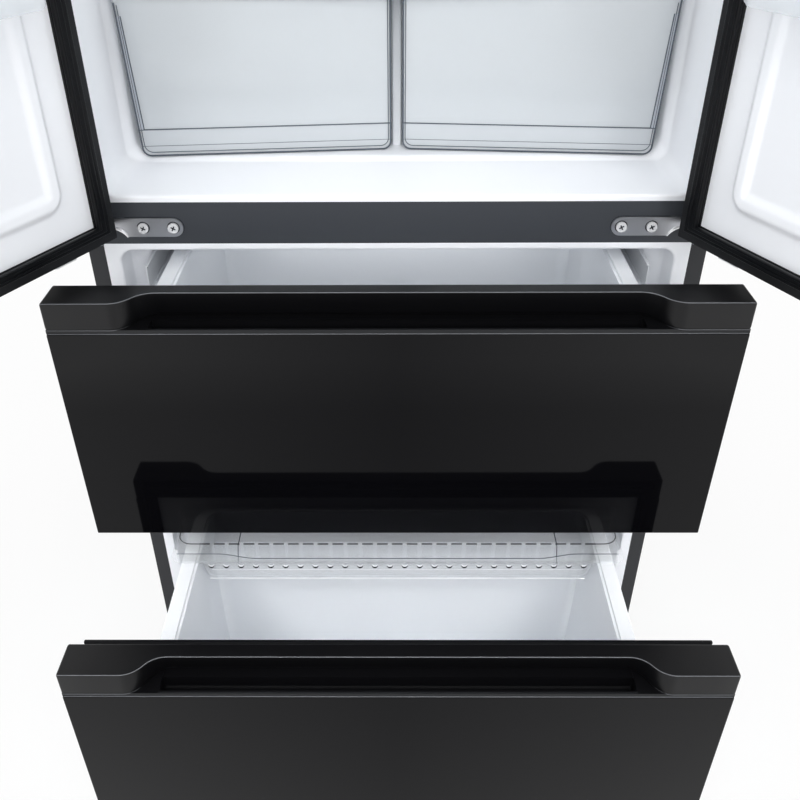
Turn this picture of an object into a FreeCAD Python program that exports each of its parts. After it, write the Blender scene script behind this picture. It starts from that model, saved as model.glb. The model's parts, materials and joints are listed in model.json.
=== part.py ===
import FreeCAD, Part
import os
import re
import Sketcher
from FreeCAD import Placement, Rotation, Vector

doc = FreeCAD.newDocument("fridge_freezer")
sheet = doc.addObject("Spreadsheet::Sheet", "sizes")
place_sheet = doc.addObject("Spreadsheet::Sheet", "places")

# Driving sizes in millimetres and degrees. The cabinet's front plane is y = 0 while a piece is drawn,
# with the user at -y, and the floor is z = 0. Doors and drawers are drawn shut and posed at the end.
driving_sizes = [
    ("case_width", 833, "outside width of the case and of the drawer fronts"),
    ("case_depth", 610, "front plane to the outside of the back"),
    ("case_bottom", 56, "underside of the case, which is the top of the base pan"),
    ("case_top", 1765, "top of the case"),
    ("case_skin", 1, "steel of the case wrap"),
    ("strip_width", 22, "dark front strip on each side and along the top"),
    ("back_thickness", 1.5, "back panel and rear cover"),
    ("pan_thickness", 2, "base pan"),
    ("liner_wall", 2, "white inner liners"),
    ("liner_round", 8, "inside corners of the liners"),
    ("front_lift", 4.5, "lower drawer front above the underside of the case"),
    ("front_height", 358, "height of a drawer front"),
    ("drawer_gap", 38.5, "between the two drawer fronts"),
    ("beam_overlap", 8, "upper drawer front over the beam between freezer and fridge"),
    ("beam_height", 58, "height of that beam"),
    ("beam_depth", 30, "depth of that beam and of the cross rail"),
    ("beam_wall", 2, "steel of the beam and of the cross rail"),
    ("mouth_rise", 5, "floor of the fridge's flared mouth above the beam"),
    ("roof_wall", 43, "top of the case above the flared mouth"),
    ("fridge_mouth_wall", 32.5, "case's side to the flared mouth"),
    ("fridge_mouth_depth", 145, "depth of the flared mouth"),
    ("fridge_side_step", 12, "step of the side walls behind the flared mouth"),
    ("fridge_step", 9, "step of the floor and the roof behind the flared mouth"),
    ("fridge_depth", 530, "back wall inside the fridge"),
    ("freezer_mouth_wall", 41.5, "case's side to the freezer's mouth"),
    ("freezer_mouth_depth", 62, "depth of the freezer's mouth"),
    ("freezer_frame_margin", 18, "drawer front beyond its opening, above and below"),
    ("freezer_side_step", 27, "step of the side walls behind the freezer's mouth"),
    ("freezer_inset", 5, "inner freezer floor and roof inside the mouth's"),
    ("freezer_depth", 480, "back wall of the upper freezer"),
    ("machine_height", 250, "machine space above the base pan"),
    ("machine_depth", 180, "machine space in front of the back of the case"),
    ("machine_wall", 35, "lower freezer's back wall to the machine space"),
    ("machine_roof", 20, "freezer floor above the machine space"),
    ("machine_side", 20, "case's side to the machine space"),
    ("front_thickness", 49, "door and drawer front from glass to back"),
    ("glass_thickness", 4, "front glass"),
    ("gasket_thickness", 13.5, "gasket from the back of a front to the cabinet"),
    ("gasket_clearance", 0.5, "gasket to cabinet when shut"),
    ("gasket_round", 10, "outer corners of the gaskets"),
    ("door_liner_margin", 1, "gasket to the edge of the liner sheet beside it"),
    ("door_liner_plate", 2.5, "liner sheet on the back of a front"),
    ("running_gap", 0.3, "clearance between pieces that slide or are laid in"),
    ("door_rise", 22, "underside of the doors above the underside of the beam"),
    ("door_drop", 3, "top of the doors below the top of the case"),
    ("door_gap", 4, "between the two doors"),
    ("door_gasket_side", 19.5, "gasket's outer edge inside the case's side"),
    ("door_gasket_free", 3, "gasket's outer edge inside the door's free edge"),
    ("door_gasket_rise", 16.5, "gasket's lower edge above the underside of the door"),
    ("door_gasket_drop", 10, "gasket's upper edge below the top of the door"),
    ("door_gasket_band", 22, "width of the door gasket"),
    ("plug_gap", 25, "door plug inside the flared mouth, above and below"),
    ("plug_side_gap", 54, "door plug inside the flared mouth on the hinge side"),
    ("plug_free_gap", 14, "door plug beside the folded mullion"),
    ("plug_height", 25, "how far the plug stands off the back of the door"),
    ("plug_wall", 18, "raised rim of the plug"),
    ("plug_recess", 20, "depth of the space inside the rim"),
    ("plug_round", 30, "corners of the plug"),
    ("hinge_inset", 21.5, "hinge axis inside the case's side"),
    ("hinge_forward", 38, "hinge axis in front of the cabinet"),
    ("pin_radius", 4, "hinge pins"),
    ("pin_clearance", 0.08, "running clearance of pins and axles"),
    ("pin_reach", 13, "hinge pin inside the door"),
    ("pin_end_gap", 2.5, "hole past the end of a pin"),
    ("left_open", 118, "left door as it stands"),
    ("right_open", 116, "right door as it stands"),
    ("hinge_plate", 3, "thickness of the mid hinge plate"),
    ("hinge_plate_length", 115, "mid hinge plate"),
    ("hinge_plate_height", 26, "mid hinge plate"),
    ("hinge_plate_round", 10, "corners of the hinge plates and covers"),
    ("hinge_plate_inset", 18.5, "outer end of the mid hinge plate inside the case's side"),
    ("hinge_plate_rise", 11, "mid hinge plate above the underside of the beam"),
    ("hinge_arm", 4, "thickness of the hinge arms"),
    ("hinge_arm_half", 12, "half width of the hinge arms"),
    ("arm_round", 3, "corners of the mid hinge arm"),
    ("mid_screw_inset", 13, "inner screw from the inner end of the mid hinge plate"),
    ("mid_screw_pitch", 40, "from one mid hinge screw to the next"),
    ("screw_radius", 2.5, "screw shanks"),
    ("screw_head", 7, "screw head radius"),
    ("screw_head_height", 3.5, "screw head height"),
    ("screw_length", 9, "screw shank length"),
    ("screw_clearance", 0.15, "screw shank in its hole"),
    ("top_hinge_length", 90, "top hinge plate behind the front plane"),
    ("top_hinge_inner", 55, "top hinge plate inside the hinge axis"),
    ("top_hinge_outer", 14, "top hinge plate round the hinge axis"),
    ("top_screw_first", 35, "first top hinge screw behind the front plane"),
    ("top_screw_pitch", 34, "from one top hinge screw to the next"),
    ("top_screw_inset", 28, "top hinge screws inside the hinge axis"),
    ("cover_height", 20, "top hinge cover"),
    ("cover_wall", 2, "wall of the top hinge cover"),
    ("cover_clearance", 2, "hinge plate to its cover"),
    ("mullion_side_gap", 3, "folded mullion beside the gasket"),
    ("mullion_thickness", 18, "mullion bar"),
    ("mullion_width", 70, "mullion bar"),
    ("mullion_front", 2, "mullion bar behind the cabinet's front plane"),
    ("mullion_gap", 22, "mullion bar inside the flared mouth, above and below"),
    ("mullion_pin", 3, "mullion pivot radius"),
    ("mullion_pin_length", 8, "mullion pivot length"),
    ("ear_height", 11.5, "ear that holds a mullion pivot"),
    ("ear_inset", 2, "ear inside the faces of the mullion"),
    ("bin_rise", 210, "lowest bin above the plug's lower face"),
    ("bin_pitch", 205, "from one door bin to the next"),
    ("bin_headroom", 60, "least space above the top bin inside the plug's rim"),
    ("bin_height", 95, "door bin"),
    ("bin_reach", 80, "front of the bins behind the cabinet's front plane"),
    ("bin_wall", 2.5, "door bin"),
    ("trim_height", 36, "handle trim on a drawer front"),
    ("ledge_height", 5.5, "ledge between the trim and the glass"),
    ("ledge_depth", 2.5, "ledge in front of the drawer body"),
    ("grip_land", 76, "full-depth end of the handle trim"),
    ("grip_sweep", 54, "run of the curve from the end to the middle"),
    ("grip_setback", 28, "how far the middle of the trim stands back"),
    ("grip_depth", 19, "finger channel below the trim"),
    ("grip_wall", 2, "wall of the finger channel"),
    ("grip_end", 10, "channel's end outside the end of the curve"),
    ("drawer_gasket_side", 16.5, "drawer gasket inside the case's side"),
    ("drawer_gasket_top", 3, "drawer gasket below the top of the front"),
    ("drawer_gasket_bottom", 3, "drawer gasket above the underside of the front"),
    ("drawer_gasket_band", 18, "width of a drawer gasket"),
    ("drawer_plug_side", 23, "drawer plug inside the freezer's mouth on each side"),
    ("drawer_plug_inset", 26, "drawer plug inside its opening, above and below"),
    ("drawer_plug_height", 20, "how far the drawer plug stands off the back of the front"),
    ("drawer_plug_bevel", 14, "bevel round the drawer plug"),
    ("rim_width", 17, "rim of a drawer box beyond its wall"),
    ("rim_bearing", 10, "rim of a drawer box on its slide"),
    ("rim_thickness", 3, "rim of a drawer box"),
    ("rim_drop", 41, "rim below the top of the drawer front"),
    ("box_taper", 8, "how much narrower each side of the box is at its floor"),
    ("box_wall", 3, "drawer box"),
    ("box_floor_gap", 15, "drawer box above the lower edge of its opening"),
    ("box_back_gap", 18, "drawer box in front of the wall behind it"),
    ("box_round", 14, "upright corners of a drawer box"),
    ("rail_wall", 1.5, "runner channels"),
    ("rail_half", 20, "half height of the fixed rails"),
    ("rail_width", 13, "fixed rail from the liner's wall"),
    ("rail_setback", 4, "front end of the rails behind the freezer's mouth"),
    ("rail_end_gap", 10, "back end of the rails in front of the wall behind them"),
    ("runner_gap", 0.4, "clearance between runner channels"),
    ("web_gap", 2, "between the webs of runner channels"),
    ("slide_reach", 41, "slide under the box rim"),
    ("upper_pull", 125, "upper drawer as it stands"),
    ("lower_pull", 335, "lower drawer as it stands"),
    ("tray_side_gap", 2, "clear tray beside the fixed rails"),
    ("tray_back_gap", 6, "clear tray in front of the back of the box"),
    ("tray_length", 213, "clear tray from front to back"),
    ("tray_wall", 2.5, "clear tray"),
    ("tray_apron", 16, "apron above the tray's flange"),
    ("tray_dip", 9, "dip in the middle of the apron"),
    ("tray_tub_gap", 10, "tray's tub inside the box"),
    ("tray_tub_setback", 30, "tray's comb wall behind the apron"),
    ("tray_tub_end", 5, "tray's tub in front of the back of the flange"),
    ("tray_depth", 38, "tub below the flange"),
    ("comb_rise", 16, "comb wall above the flange"),
    ("comb_pitch", 21.8, "slots in the comb wall"),
    ("comb_slot", 6, "width of a slot"),
    ("comb_depth", 30, "depth of a slot"),
    ("crisper_gap", 7, "crisper's inner face from the middle"),
    ("crisper_side_gap", 13.5, "crisper's outer face inside the fridge's wall"),
    ("crisper_foot_gap", 20, "foot of the crisper's front behind the flared mouth"),
    ("crisper_back_gap", 15, "crispers in front of the fridge's back wall"),
    ("crisper_taper", 6, "each side narrower at the floor"),
    ("crisper_lean", 52, "how far the crisper's front leans out at its top"),
    ("crisper_sweep", 20, "how far the front runs back towards the middle"),
    ("crisper_height", 205, "height of the crispers"),
    ("crisper_wall", 3, "wall of the crispers"),
    ("frame_rise", 4, "crisper frame above the crispers"),
    ("frame_height", 9, "crisper frame"),
    ("frame_bar", 22, "bars of the crisper frame"),
    ("frame_setback", 9, "crisper frame behind the top edge of the crispers"),
    ("shelf_pitch", 205, "from one glass shelf to the next"),
    ("shelf_headroom", 100, "least space above the top shelf"),
    ("shelf_glass", 4, "thickness of the glass shelves"),
    ("shelf_bin_gap", 24, "front of the shelves behind the door bins"),
    ("shelf_back_gap", 11, "back of the shelves in front of the air duct"),
    ("trim_depth", 14, "shelf trims"),
    ("trim_lip", 6, "trim above and below the glass"),
    ("duct_half", 115, "half width of the air duct panel"),
    ("duct_rise", 49, "air duct panel above the crisper cover"),
    ("duct_drop", 23, "air duct panel below the fridge's roof"),
    ("duct_depth", 14, "air duct panel"),
    ("duct_wall", 2, "air duct panel"),
    ("duct_slot", 6, "air slots of the duct panel"),
    ("duct_slot_margin", 45, "air slots inside the sides of the duct panel"),
    ("duct_slots", 5, "air slots of the duct panel"),
    ("back_cover_wall", 3, "freezer's back cover"),
    ("back_cover_lift", 4, "freezer's back cover above the freezer's ledge"),
    ("coil_width", 480, "evaporator across the freezer"),
    ("coil_height", 200, "evaporator"),
    ("coil_depth", 36, "evaporator"),
    ("coil_front_gap", 4.7, "evaporator behind the back cover"),
    ("coil_lift", 34, "evaporator above the freezer's ledge"),
    ("fin_thickness", 1.5, "fins of the evaporator and the condenser"),
    ("fin_pitch", 20, "fins of the evaporator and the condenser"),
    ("tube_radius", 4, "tubes of the evaporator and the condenser"),
    ("tube_pitch", 40, "tubes of the evaporator and the condenser"),
    ("fan_radius", 50, "fans"),
    ("fan_hub", 14, "fan hub radius"),
    ("fan_depth", 16, "fan hubs along their axis"),
    ("fan_blade", 2, "thickness of the fan blades"),
    ("fan_pitch_angle", 35, "set of the fan blades"),
    ("fan_blade_count", 5, "blades of a fan"),
    ("fan_pin", 3, "fan shaft radius"),
    ("fan_tip_gap", 6, "fan opening outside the blades"),
    ("spoke_width", 10, "spokes across the fan openings"),
    ("machine_line", 90, "middle of the machinery in front of the back of the case"),
    ("compressor_gap", 81.5, "compressor base plate inside the machine space"),
    ("compressor_radius", 68, "compressor shell"),
    ("compressor_height", 135, "compressor shell"),
    ("compressor_dome", 28, "rounding of the compressor shell"),
    ("compressor_foot", 170, "compressor base plate"),
    ("compressor_plate", 4, "compressor base plate"),
    ("condenser_gap", 66.5, "condenser inside the machine space"),
    ("condenser_length", 240, "condenser across the case"),
    ("condenser_depth", 70, "condenser along the case"),
    ("condenser_height", 130, "condenser"),
    ("bracket_gap", 60, "condenser fan bracket beside the condenser"),
    ("bracket_margin", 10, "bracket beside its fan opening"),
    ("bracket_spare", 8, "height of the bracket beyond its width"),
    ("bracket_wall", 3, "condenser fan bracket"),
    ("grille_slot", 8, "slots of the rear cover"),
    ("grille_pitch", 22, "slots of the rear cover"),
    ("grille_margin", 116.5, "slots inside the case's side"),
    ("grille_count", 8, "slots of the rear cover"),
    ("gland_radius", 9, "cable gland on the rear cover"),
    ("gland_bore", 4, "cable gland on the rear cover"),
    ("gland_length", 10, "cable gland on the rear cover"),
    ("gland_inset", 56.5, "cable gland inside the case's side"),
    ("kick_inset", 16.5, "kick plate inside the case's side"),
    ("kick_front", 16, "kick plate behind the front plane"),
    ("kick_thickness", 3, "kick plate"),
    ("kick_bottom", 14, "kick plate above the floor"),
    ("foot_inset", 56.5, "levelling feet inside the case's side"),
    ("foot_y", 60, "levelling feet behind the front plane"),
    ("foot_radius", 20, "levelling foot pad"),
    ("foot_pad", 10, "levelling foot pad"),
    ("foot_stem", 6, "levelling foot stem"),
    ("roller_inset", 44.5, "rear rollers inside the case's side"),
    ("roller_setback", 50, "rear rollers in front of the back of the case"),
    ("roller_radius", 22, "rear rollers"),
    ("roller_width", 16, "rear rollers"),
    ("axle_radius", 4, "roller axles"),
    ("roller_ear", 3, "ears that carry the roller axles"),
    ("roller_ear_half", 14, "half length of the roller ears"),
]

# Places that follow from the sizes, each written once
followed_places = [
    ("half_width", "case_width / 2"),
    ("strip_inside", "half_width - strip_width"),
    ("foam_back", "case_depth - back_thickness"),
    ("pan_bottom", "case_bottom - pan_thickness"),
    ("front_back", "-gasket_clearance - gasket_thickness"),
    ("front_face", "front_back - front_thickness"),
    ("glass_back", "front_face + glass_thickness"),
    ("to_middle", "(lower_pull - front_face - case_depth) / 2"),
    ("lower_bottom", "case_bottom + front_lift"),
    ("lower_top", "lower_bottom + front_height"),
    ("upper_bottom", "lower_top + drawer_gap"),
    ("upper_top", "upper_bottom + front_height"),
    ("beam_bottom", "upper_top - beam_overlap"),
    ("beam_top", "beam_bottom + beam_height"),
    ("fridge_mouth_floor", "beam_top + mouth_rise"),
    ("fridge_mouth_top", "case_top - roof_wall"),
    ("fridge_mouth_half", "half_width - fridge_mouth_wall"),
    ("fridge_half", "fridge_mouth_half - fridge_side_step"),
    ("fridge_floor", "fridge_mouth_floor + fridge_step"),
    ("fridge_roof", "fridge_mouth_top - fridge_step"),
    ("laid_half", "fridge_half - running_gap"),
    ("freezer_mouth_half", "half_width - freezer_mouth_wall"),
    ("freezer_half", "freezer_mouth_half - freezer_side_step"),
    ("freezer_mouth_floor", "lower_bottom + freezer_frame_margin"),
    ("freezer_mouth_roof", "upper_top - freezer_frame_margin"),
    ("freezer_floor", "freezer_mouth_floor + freezer_inset"),
    ("freezer_roof", "freezer_mouth_roof - freezer_inset"),
    ("cross_rail_low", "lower_top - freezer_frame_margin"),
    ("cross_rail_high", "upper_bottom + freezer_frame_margin"),
    ("machine_front", "case_depth - machine_depth"),
    ("machine_top", "case_bottom + machine_height"),
    ("machine_half", "half_width - machine_side"),
    ("freezer_low_depth", "machine_front - machine_wall"),
    ("freezer_ledge", "machine_top + machine_roof"),
    ("coil_back", "freezer_depth - running_gap"),
    ("back_cover_back", "coil_back - coil_depth - coil_front_gap"),
    ("back_cover", "back_cover_back - back_cover_wall"),
    ("hinge_x", "half_width - hinge_inset"),
    ("door_bottom", "beam_bottom + door_rise"),
    ("door_top", "case_top - door_drop"),
    ("door_free", "door_gap / 2"),
    ("door_gasket_low", "door_bottom + door_gasket_rise"),
    ("door_gasket_high", "door_top - door_gasket_drop"),
    ("door_gasket_inner", "door_free + door_gasket_free"),
    ("door_gasket_outer", "half_width - door_gasket_side"),
    ("door_sheet_edge", "door_gasket_band + door_liner_margin"),
    ("mullion_inner", "door_gasket_inner + door_gasket_band + mullion_side_gap"),
    ("mullion_outer", "mullion_inner + mullion_thickness"),
    ("mullion_low", "fridge_mouth_floor + mullion_gap"),
    ("mullion_high", "fridge_mouth_top - mullion_gap"),
    ("pivot_x", "mullion_inner + mullion_thickness / 2"),
    ("pivot_y", "mullion_front + mullion_thickness / 2"),
    ("plug_free", "mullion_outer + plug_free_gap"),
    ("plug_side", "fridge_mouth_half - plug_side_gap"),
    ("plug_low", "fridge_mouth_floor + plug_gap"),
    ("plug_high", "fridge_mouth_top - plug_gap"),
    ("plug_floor", "front_back + plug_height - plug_recess"),
    ("bin_inner", "plug_free + plug_wall + running_gap"),
    ("bin_outer", "plug_side - plug_wall - running_gap"),
    ("bin_low", "plug_low + bin_rise"),
    ("bin_room", "plug_high - plug_wall - bin_headroom - bin_height - bin_low"),
    ("hinge_plate_outer", "half_width - hinge_plate_inset"),
    ("hinge_plate_inner", "hinge_plate_outer - hinge_plate_length"),
    ("hinge_plate_low", "beam_bottom + hinge_plate_rise"),
    ("hinge_plate_high", "hinge_plate_low + hinge_plate_height"),
    ("mid_screw_x", "hinge_plate_inner + mid_screw_inset"),
    ("mid_screw_z", "(hinge_plate_low + hinge_plate_high) / 2"),
    ("top_screw_x", "hinge_x - top_screw_inset"),
    ("top_screw_seat", "case_top + hinge_arm"),
    ("screw_hole", "screw_radius + screw_clearance"),
    ("grip_half", "half_width - grip_land - grip_sweep + grip_end"),
    ("drawer_gasket_half", "half_width - drawer_gasket_side"),
    ("drawer_sheet_edge", "drawer_gasket_band + door_liner_margin"),
    ("drawer_sheet_half", "drawer_gasket_half - drawer_sheet_edge"),
    ("drawer_plug_half", "freezer_mouth_half - drawer_plug_side"),
    ("drawer_plug_margin", "freezer_frame_margin + drawer_plug_inset"),
    ("drawer_plug_back", "front_back + drawer_plug_height"),
    ("slide_half", "rail_half - 2 * rail_wall - 2 * runner_gap"),
    ("runner_half", "rail_half - rail_wall - runner_gap"),
    ("rail_inner", "freezer_half - rail_width"),
    ("rail_start", "freezer_mouth_depth + rail_setback"),
    ("runner_inner", "rail_inner - 2 * web_gap"),
    ("runner_outer", "freezer_half - rail_wall - web_gap"),
    ("slide_outer", "runner_outer - rail_wall - web_gap"),
    ("slide_inner", "slide_outer - slide_reach"),
    ("rim_outer", "slide_inner + rim_bearing"),
    ("box_half", "rim_outer - rim_width"),
    ("box_foot_half", "box_half - box_taper"),
    ("upper_box_back", "back_cover - box_back_gap"),
    ("lower_box_back", "freezer_low_depth - box_back_gap"),
    ("tray_half", "rail_inner - tray_side_gap"),
    ("tray_back", "lower_box_back - tray_back_gap"),
    ("tray_front", "tray_back - tray_length"),
    ("flange_low", "lower_top - rim_drop + running_gap"),
    ("flange_high", "flange_low + tray_wall"),
    ("tub_half", "box_half - box_wall - tray_tub_gap"),
    ("tub_front", "tray_front + tray_tub_setback"),
    ("tub_back", "tray_back - tray_tub_end"),
    ("tub_floor", "flange_high - tray_depth"),
    ("comb_back", "tub_front + tray_wall"),
    ("comb_top", "flange_high + comb_rise"),
    ("dip_radius", "(tub_half * tub_half + tray_dip * tray_dip) / (2 * tray_dip)"),
    ("crisper_half", "fridge_half - crisper_side_gap"),
    ("crisper_front", "fridge_mouth_depth + crisper_foot_gap"),
    ("crisper_back", "fridge_depth - crisper_back_gap"),
    ("crisper_floor", "fridge_floor + running_gap"),
    ("crisper_top", "crisper_floor + crisper_height"),
    ("frame_front", "crisper_front - crisper_lean + frame_setback"),
    ("frame_low", "crisper_top + frame_rise"),
    ("frame_high", "frame_low + frame_height"),
    ("crisper_cover", "frame_high + shelf_glass"),
    ("shelf_room", "fridge_roof - crisper_cover - shelf_headroom"),
    ("shelf_front", "bin_reach + shelf_bin_gap"),
    ("shelf_back", "fridge_depth - duct_depth - shelf_back_gap"),
    ("duct_front", "fridge_depth - duct_depth"),
    ("duct_low", "crisper_cover + duct_rise"),
    ("duct_high", "fridge_roof - duct_drop"),
    ("duct_slot_half", "duct_half - duct_slot_margin"),
    ("duct_slot_step", "(duct_high - duct_low) / (duct_slots + 1)"),
    ("fan_opening", "fan_radius + fan_tip_gap"),
    ("coil_half", "coil_width / 2"),
    ("coil_low", "freezer_ledge + coil_lift"),
    ("coil_high", "coil_low + coil_height"),
    ("cold_fan_z", "(coil_high + freezer_roof) / 2"),
    ("machine_y", "case_depth - machine_line"),
    ("compressor_x", "compressor_gap + compressor_foot / 2 - machine_half"),
    ("dome_start", "compressor_height - compressor_dome"),
    ("dome_radius", "compressor_radius - compressor_dome"),
    ("condenser_end", "machine_half - condenser_gap"),
    ("condenser_start", "condenser_end - condenser_length"),
    ("bracket_x", "condenser_start - bracket_gap"),
    ("bracket_back", "bracket_x + bracket_wall"),
    ("bracket_half", "fan_opening + bracket_margin"),
    ("bracket_height", "2 * bracket_half + bracket_spare"),
    ("warm_fan_z", "case_bottom + bracket_height / 2"),
    ("grille_half", "half_width - grille_margin"),
    ("gland_x", "half_width - gland_inset"),
    ("gland_z", "case_bottom + machine_height / 2"),
    ("kick_half", "half_width - kick_inset"),
    ("foot_x", "half_width - foot_inset"),
    ("foot_top", "pan_bottom - running_gap"),
    ("roller_x", "half_width - roller_inset"),
    ("roller_y", "case_depth - roller_setback"),
    ("roller_inner", "roller_x - roller_width / 2"),
    ("ear_inner", "roller_inner - running_gap"),
    ("ear_outer", "roller_x + roller_width / 2 + running_gap"),
    ("ear_low", "roller_radius - 2 * axle_radius"),
]
owners = {name: "sizes." for name, number, note in driving_sizes}
owners.update({name: "places." for name, words in followed_places})


def formula(words):
    # each name becomes a reference to its cell
    return re.sub(r"[a-z_]+", lambda word: f"{owners.get(word[0], '')}{word[0]}", words)


for row, (name, number, note) in enumerate(driving_sizes, 1):
    sheet.set(f"A{row}", name)
    sheet.set(f"B{row}", str(number))
    sheet.setAlias(f"B{row}", name)
    sheet.set(f"C{row}", note)
doc.recompute()
for row, (name, words) in enumerate(followed_places, 1):
    place_sheet.set(f"A{row}", name)
    place_sheet.setAlias(f"B{row}", name)
    place_sheet.set(f"B{row}", "=" + formula(words))
doc.recompute()


def value(words):
    return float(sheet.evalExpression(formula(words)))


# Simple solids, each placed by formulas

def block(name, x, y, z):
    # x, y and z are (low, high) pairs of formulas
    box = doc.addObject("Part::Box", name)
    for side, axis, (low, high) in (("Length", "x", x), ("Width", "y", y), ("Height", "z", z)):
        box.setExpression(side, formula(f"({high}) - ({low})"))
        box.setExpression("Placement.Base." + axis, formula(low))
    return box


def across(half):
    return f"-{half}", half


axis_turns = {"x": Rotation(Vector(0, 1, 0), 90), "y": Rotation(Vector(1, 0, 0), -90), "z": Rotation()}


def rod(name, along, start, length, radius):
    cylinder = doc.addObject("Part::Cylinder", name)
    cylinder.Placement = Placement(Vector(), axis_turns[along])
    for axis, words in zip("xyz", start):
        cylinder.setExpression("Placement.Base." + axis, formula(words))
    cylinder.setExpression("Height", formula(length))
    cylinder.setExpression("Radius", formula(radius))
    return cylinder


def tapered(name, low, high, z):
    # a block whose lower and upper outlines are (x, x, y, y) formulas at the two heights of z
    wedge = doc.addObject("Part::Wedge", name)
    wedge.Placement = Placement(Vector(), Rotation(Vector(1, 0, 0), 90))
    corners = {"Xmin": low[0], "Xmax": low[1], "Zmin": f"-({low[3]})", "Zmax": f"-({low[2]})",
               "X2min": high[0], "X2max": high[1], "Z2min": f"-({high[3]})", "Z2max": f"-({high[2]})",
               "Ymin": z[0], "Ymax": z[1]}
    for corner, words in corners.items():
        wedge.setExpression(corner, formula(words))
    return wedge


def fuse(name, pieces):
    joined = doc.addObject("Part::MultiFuse", name)
    joined.Shapes = pieces
    return joined


def cut(name, base, *tools):
    result = doc.addObject("Part::Cut", name)
    result.Base = base
    result.Tool = tools[0] if len(tools) == 1 else fuse(name + "_tools", list(tools))
    return result


def group(name, pieces):
    several = doc.addObject("Part::Compound", name)
    several.Links = pieces
    return several


def mirrored(name, source):
    other = doc.addObject("Part::Mirroring", name)
    other.Source = source
    other.Base = Vector(0, 0, 0)
    other.Normal = Vector(1, 0, 0)
    return other


def both_sides(name, source):
    return group(name, [source, mirrored(name + "_mirrored", source)])


near_parallel = 0.99


def runs_along(edge, axis):
    run = edge.lastVertex().Point - edge.firstVertex().Point
    return abs(run * axis) > near_parallel * run.Length


def rounded(name, base, along, radius):
    # rounds the straight edges that run along one axis
    doc.recompute()
    axis = Vector(*(1.0 if letter == along else 0.0 for letter in "xyz"))
    width = value(radius)
    result = doc.addObject("Part::Fillet", name)
    result.Base = base
    result.Edges = [(number, width, width) for number, edge in enumerate(base.Shape.Edges, 1)
                    if runs_along(edge, axis)]
    return result


def bevelled_back(name, base, width):
    # bevels the edges of the face that lies furthest along +y
    doc.recompute()
    back = base.Shape.BoundBox.YMax
    bevel = value(width)
    result = doc.addObject("Part::Chamfer", name)
    result.Base = base
    result.Edges = [(number, bevel, bevel) for number, edge in enumerate(base.Shape.Edges, 1)
                    if back - edge.CenterOfMass.y < bevel / 2]
    return result


def ring(name, x, y, z, band, radius):
    # an upright frame of one band width with rounded corners
    outside = rounded(name + "_round", block(name + "_outside", x, y, z), "y", radius)
    hole_x = (f"{x[0]} + {band}", f"{x[1]} - {band}")
    hole_z = (f"{z[0]} + {band}", f"{z[1]} - {band}")
    hole = block(name + "_hole", hole_x, (f"{y[0]} - {band}", f"{y[1]} + {band}"), hole_z)
    return cut(name, outside, hole)


def channel(name, inner, outer, middle, half_height, y):
    # a C section that opens towards the middle of the cabinet
    low = f"{middle} - {half_height}"
    high = f"{middle} + {half_height}"
    solid = block(name + "_solid", (inner, outer), y, (low, high))
    space = block(name + "_space", (f"{inner} - rail_wall", f"{outer} - rail_wall"),
                  (f"{y[0]} - rail_wall", f"{y[1]} + rail_wall"),
                  (f"{low} + rail_wall", f"{high} - rail_wall"))
    return cut(name, solid, space)


# Sketched pieces

def outline(body, name, role, points, height="0"):
    # a closed outline of straight lines whose corners are held by formulas, all at or right of the origin
    sketch = body.newObject("Sketcher::SketchObject", name)
    plane = next(feature for feature in body.Origin.OriginFeatures if feature.Role == role)
    sketch.AttachmentSupport = [(plane, "")]
    sketch.MapMode = "FlatFace"
    sketch.setExpression("AttachmentOffset.Base.z", formula(height))
    corners = [Vector(value(across_words), value(up_words), 0) for across_words, up_words in points]
    count = len(points)
    for k in range(count):
        sketch.addGeometry(Part.LineSegment(corners[k], corners[(k + 1) % count]), False)
    for k in range(count):
        sketch.addConstraint(Sketcher.Constraint("Coincident", k, 2, (k + 1) % count, 1))
    for k, corner in enumerate(points):
        for direction, axis_line, words in (("DistanceX", -2, corner[0]), ("DistanceY", -1, corner[1])):
            if words == "0":
                sketch.addConstraint(Sketcher.Constraint("PointOnObject", k, 1, axis_line))
            else:
                held = sketch.addConstraint(Sketcher.Constraint(direction, -1, 1, k, 1, value(words)))
                sketch.setExpression(f"Constraints[{held}]", formula(words))
    return sketch


def turned(name, points, place):
    # a piece turned about its upright axis from a half section of (radius, height) corners
    body = doc.addObject("PartDesign::Body", name)
    profile = outline(body, name + "_section", "XZ_Plane", points)
    turning = body.newObject("PartDesign::Revolution", name + "_turning")
    turning.Profile = profile
    turning.ReferenceAxis = (profile, ["V_Axis"])
    turning.Angle = 360
    for axis, words in zip("xyz", place):
        body.setExpression("Placement.Base." + axis, formula(words))
    return body


def lofted(body, kind, name, low, low_height, high, high_height):
    foot = outline(body, name + "_foot", "XY_Plane", low, low_height)
    head = outline(body, name + "_head", "XY_Plane", high, high_height)
    loft = body.newObject("PartDesign::" + kind, name)
    loft.Profile = foot
    loft.Sections = [head]
    loft.Ruled = True
    return loft


# Poses: how each moving body stands, with the middle of the whole object over the origin

pulls = {"cabinet": "0", "upper_drawer": "upper_pull", "lower_drawer": "lower_pull",
         "upper_runners": "upper_pull / 2", "lower_runners": "lower_pull / 2"}
swings = {"left_door": (-1, "left_open"), "right_door": (1, "right_open")}
sub_parts = []


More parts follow.
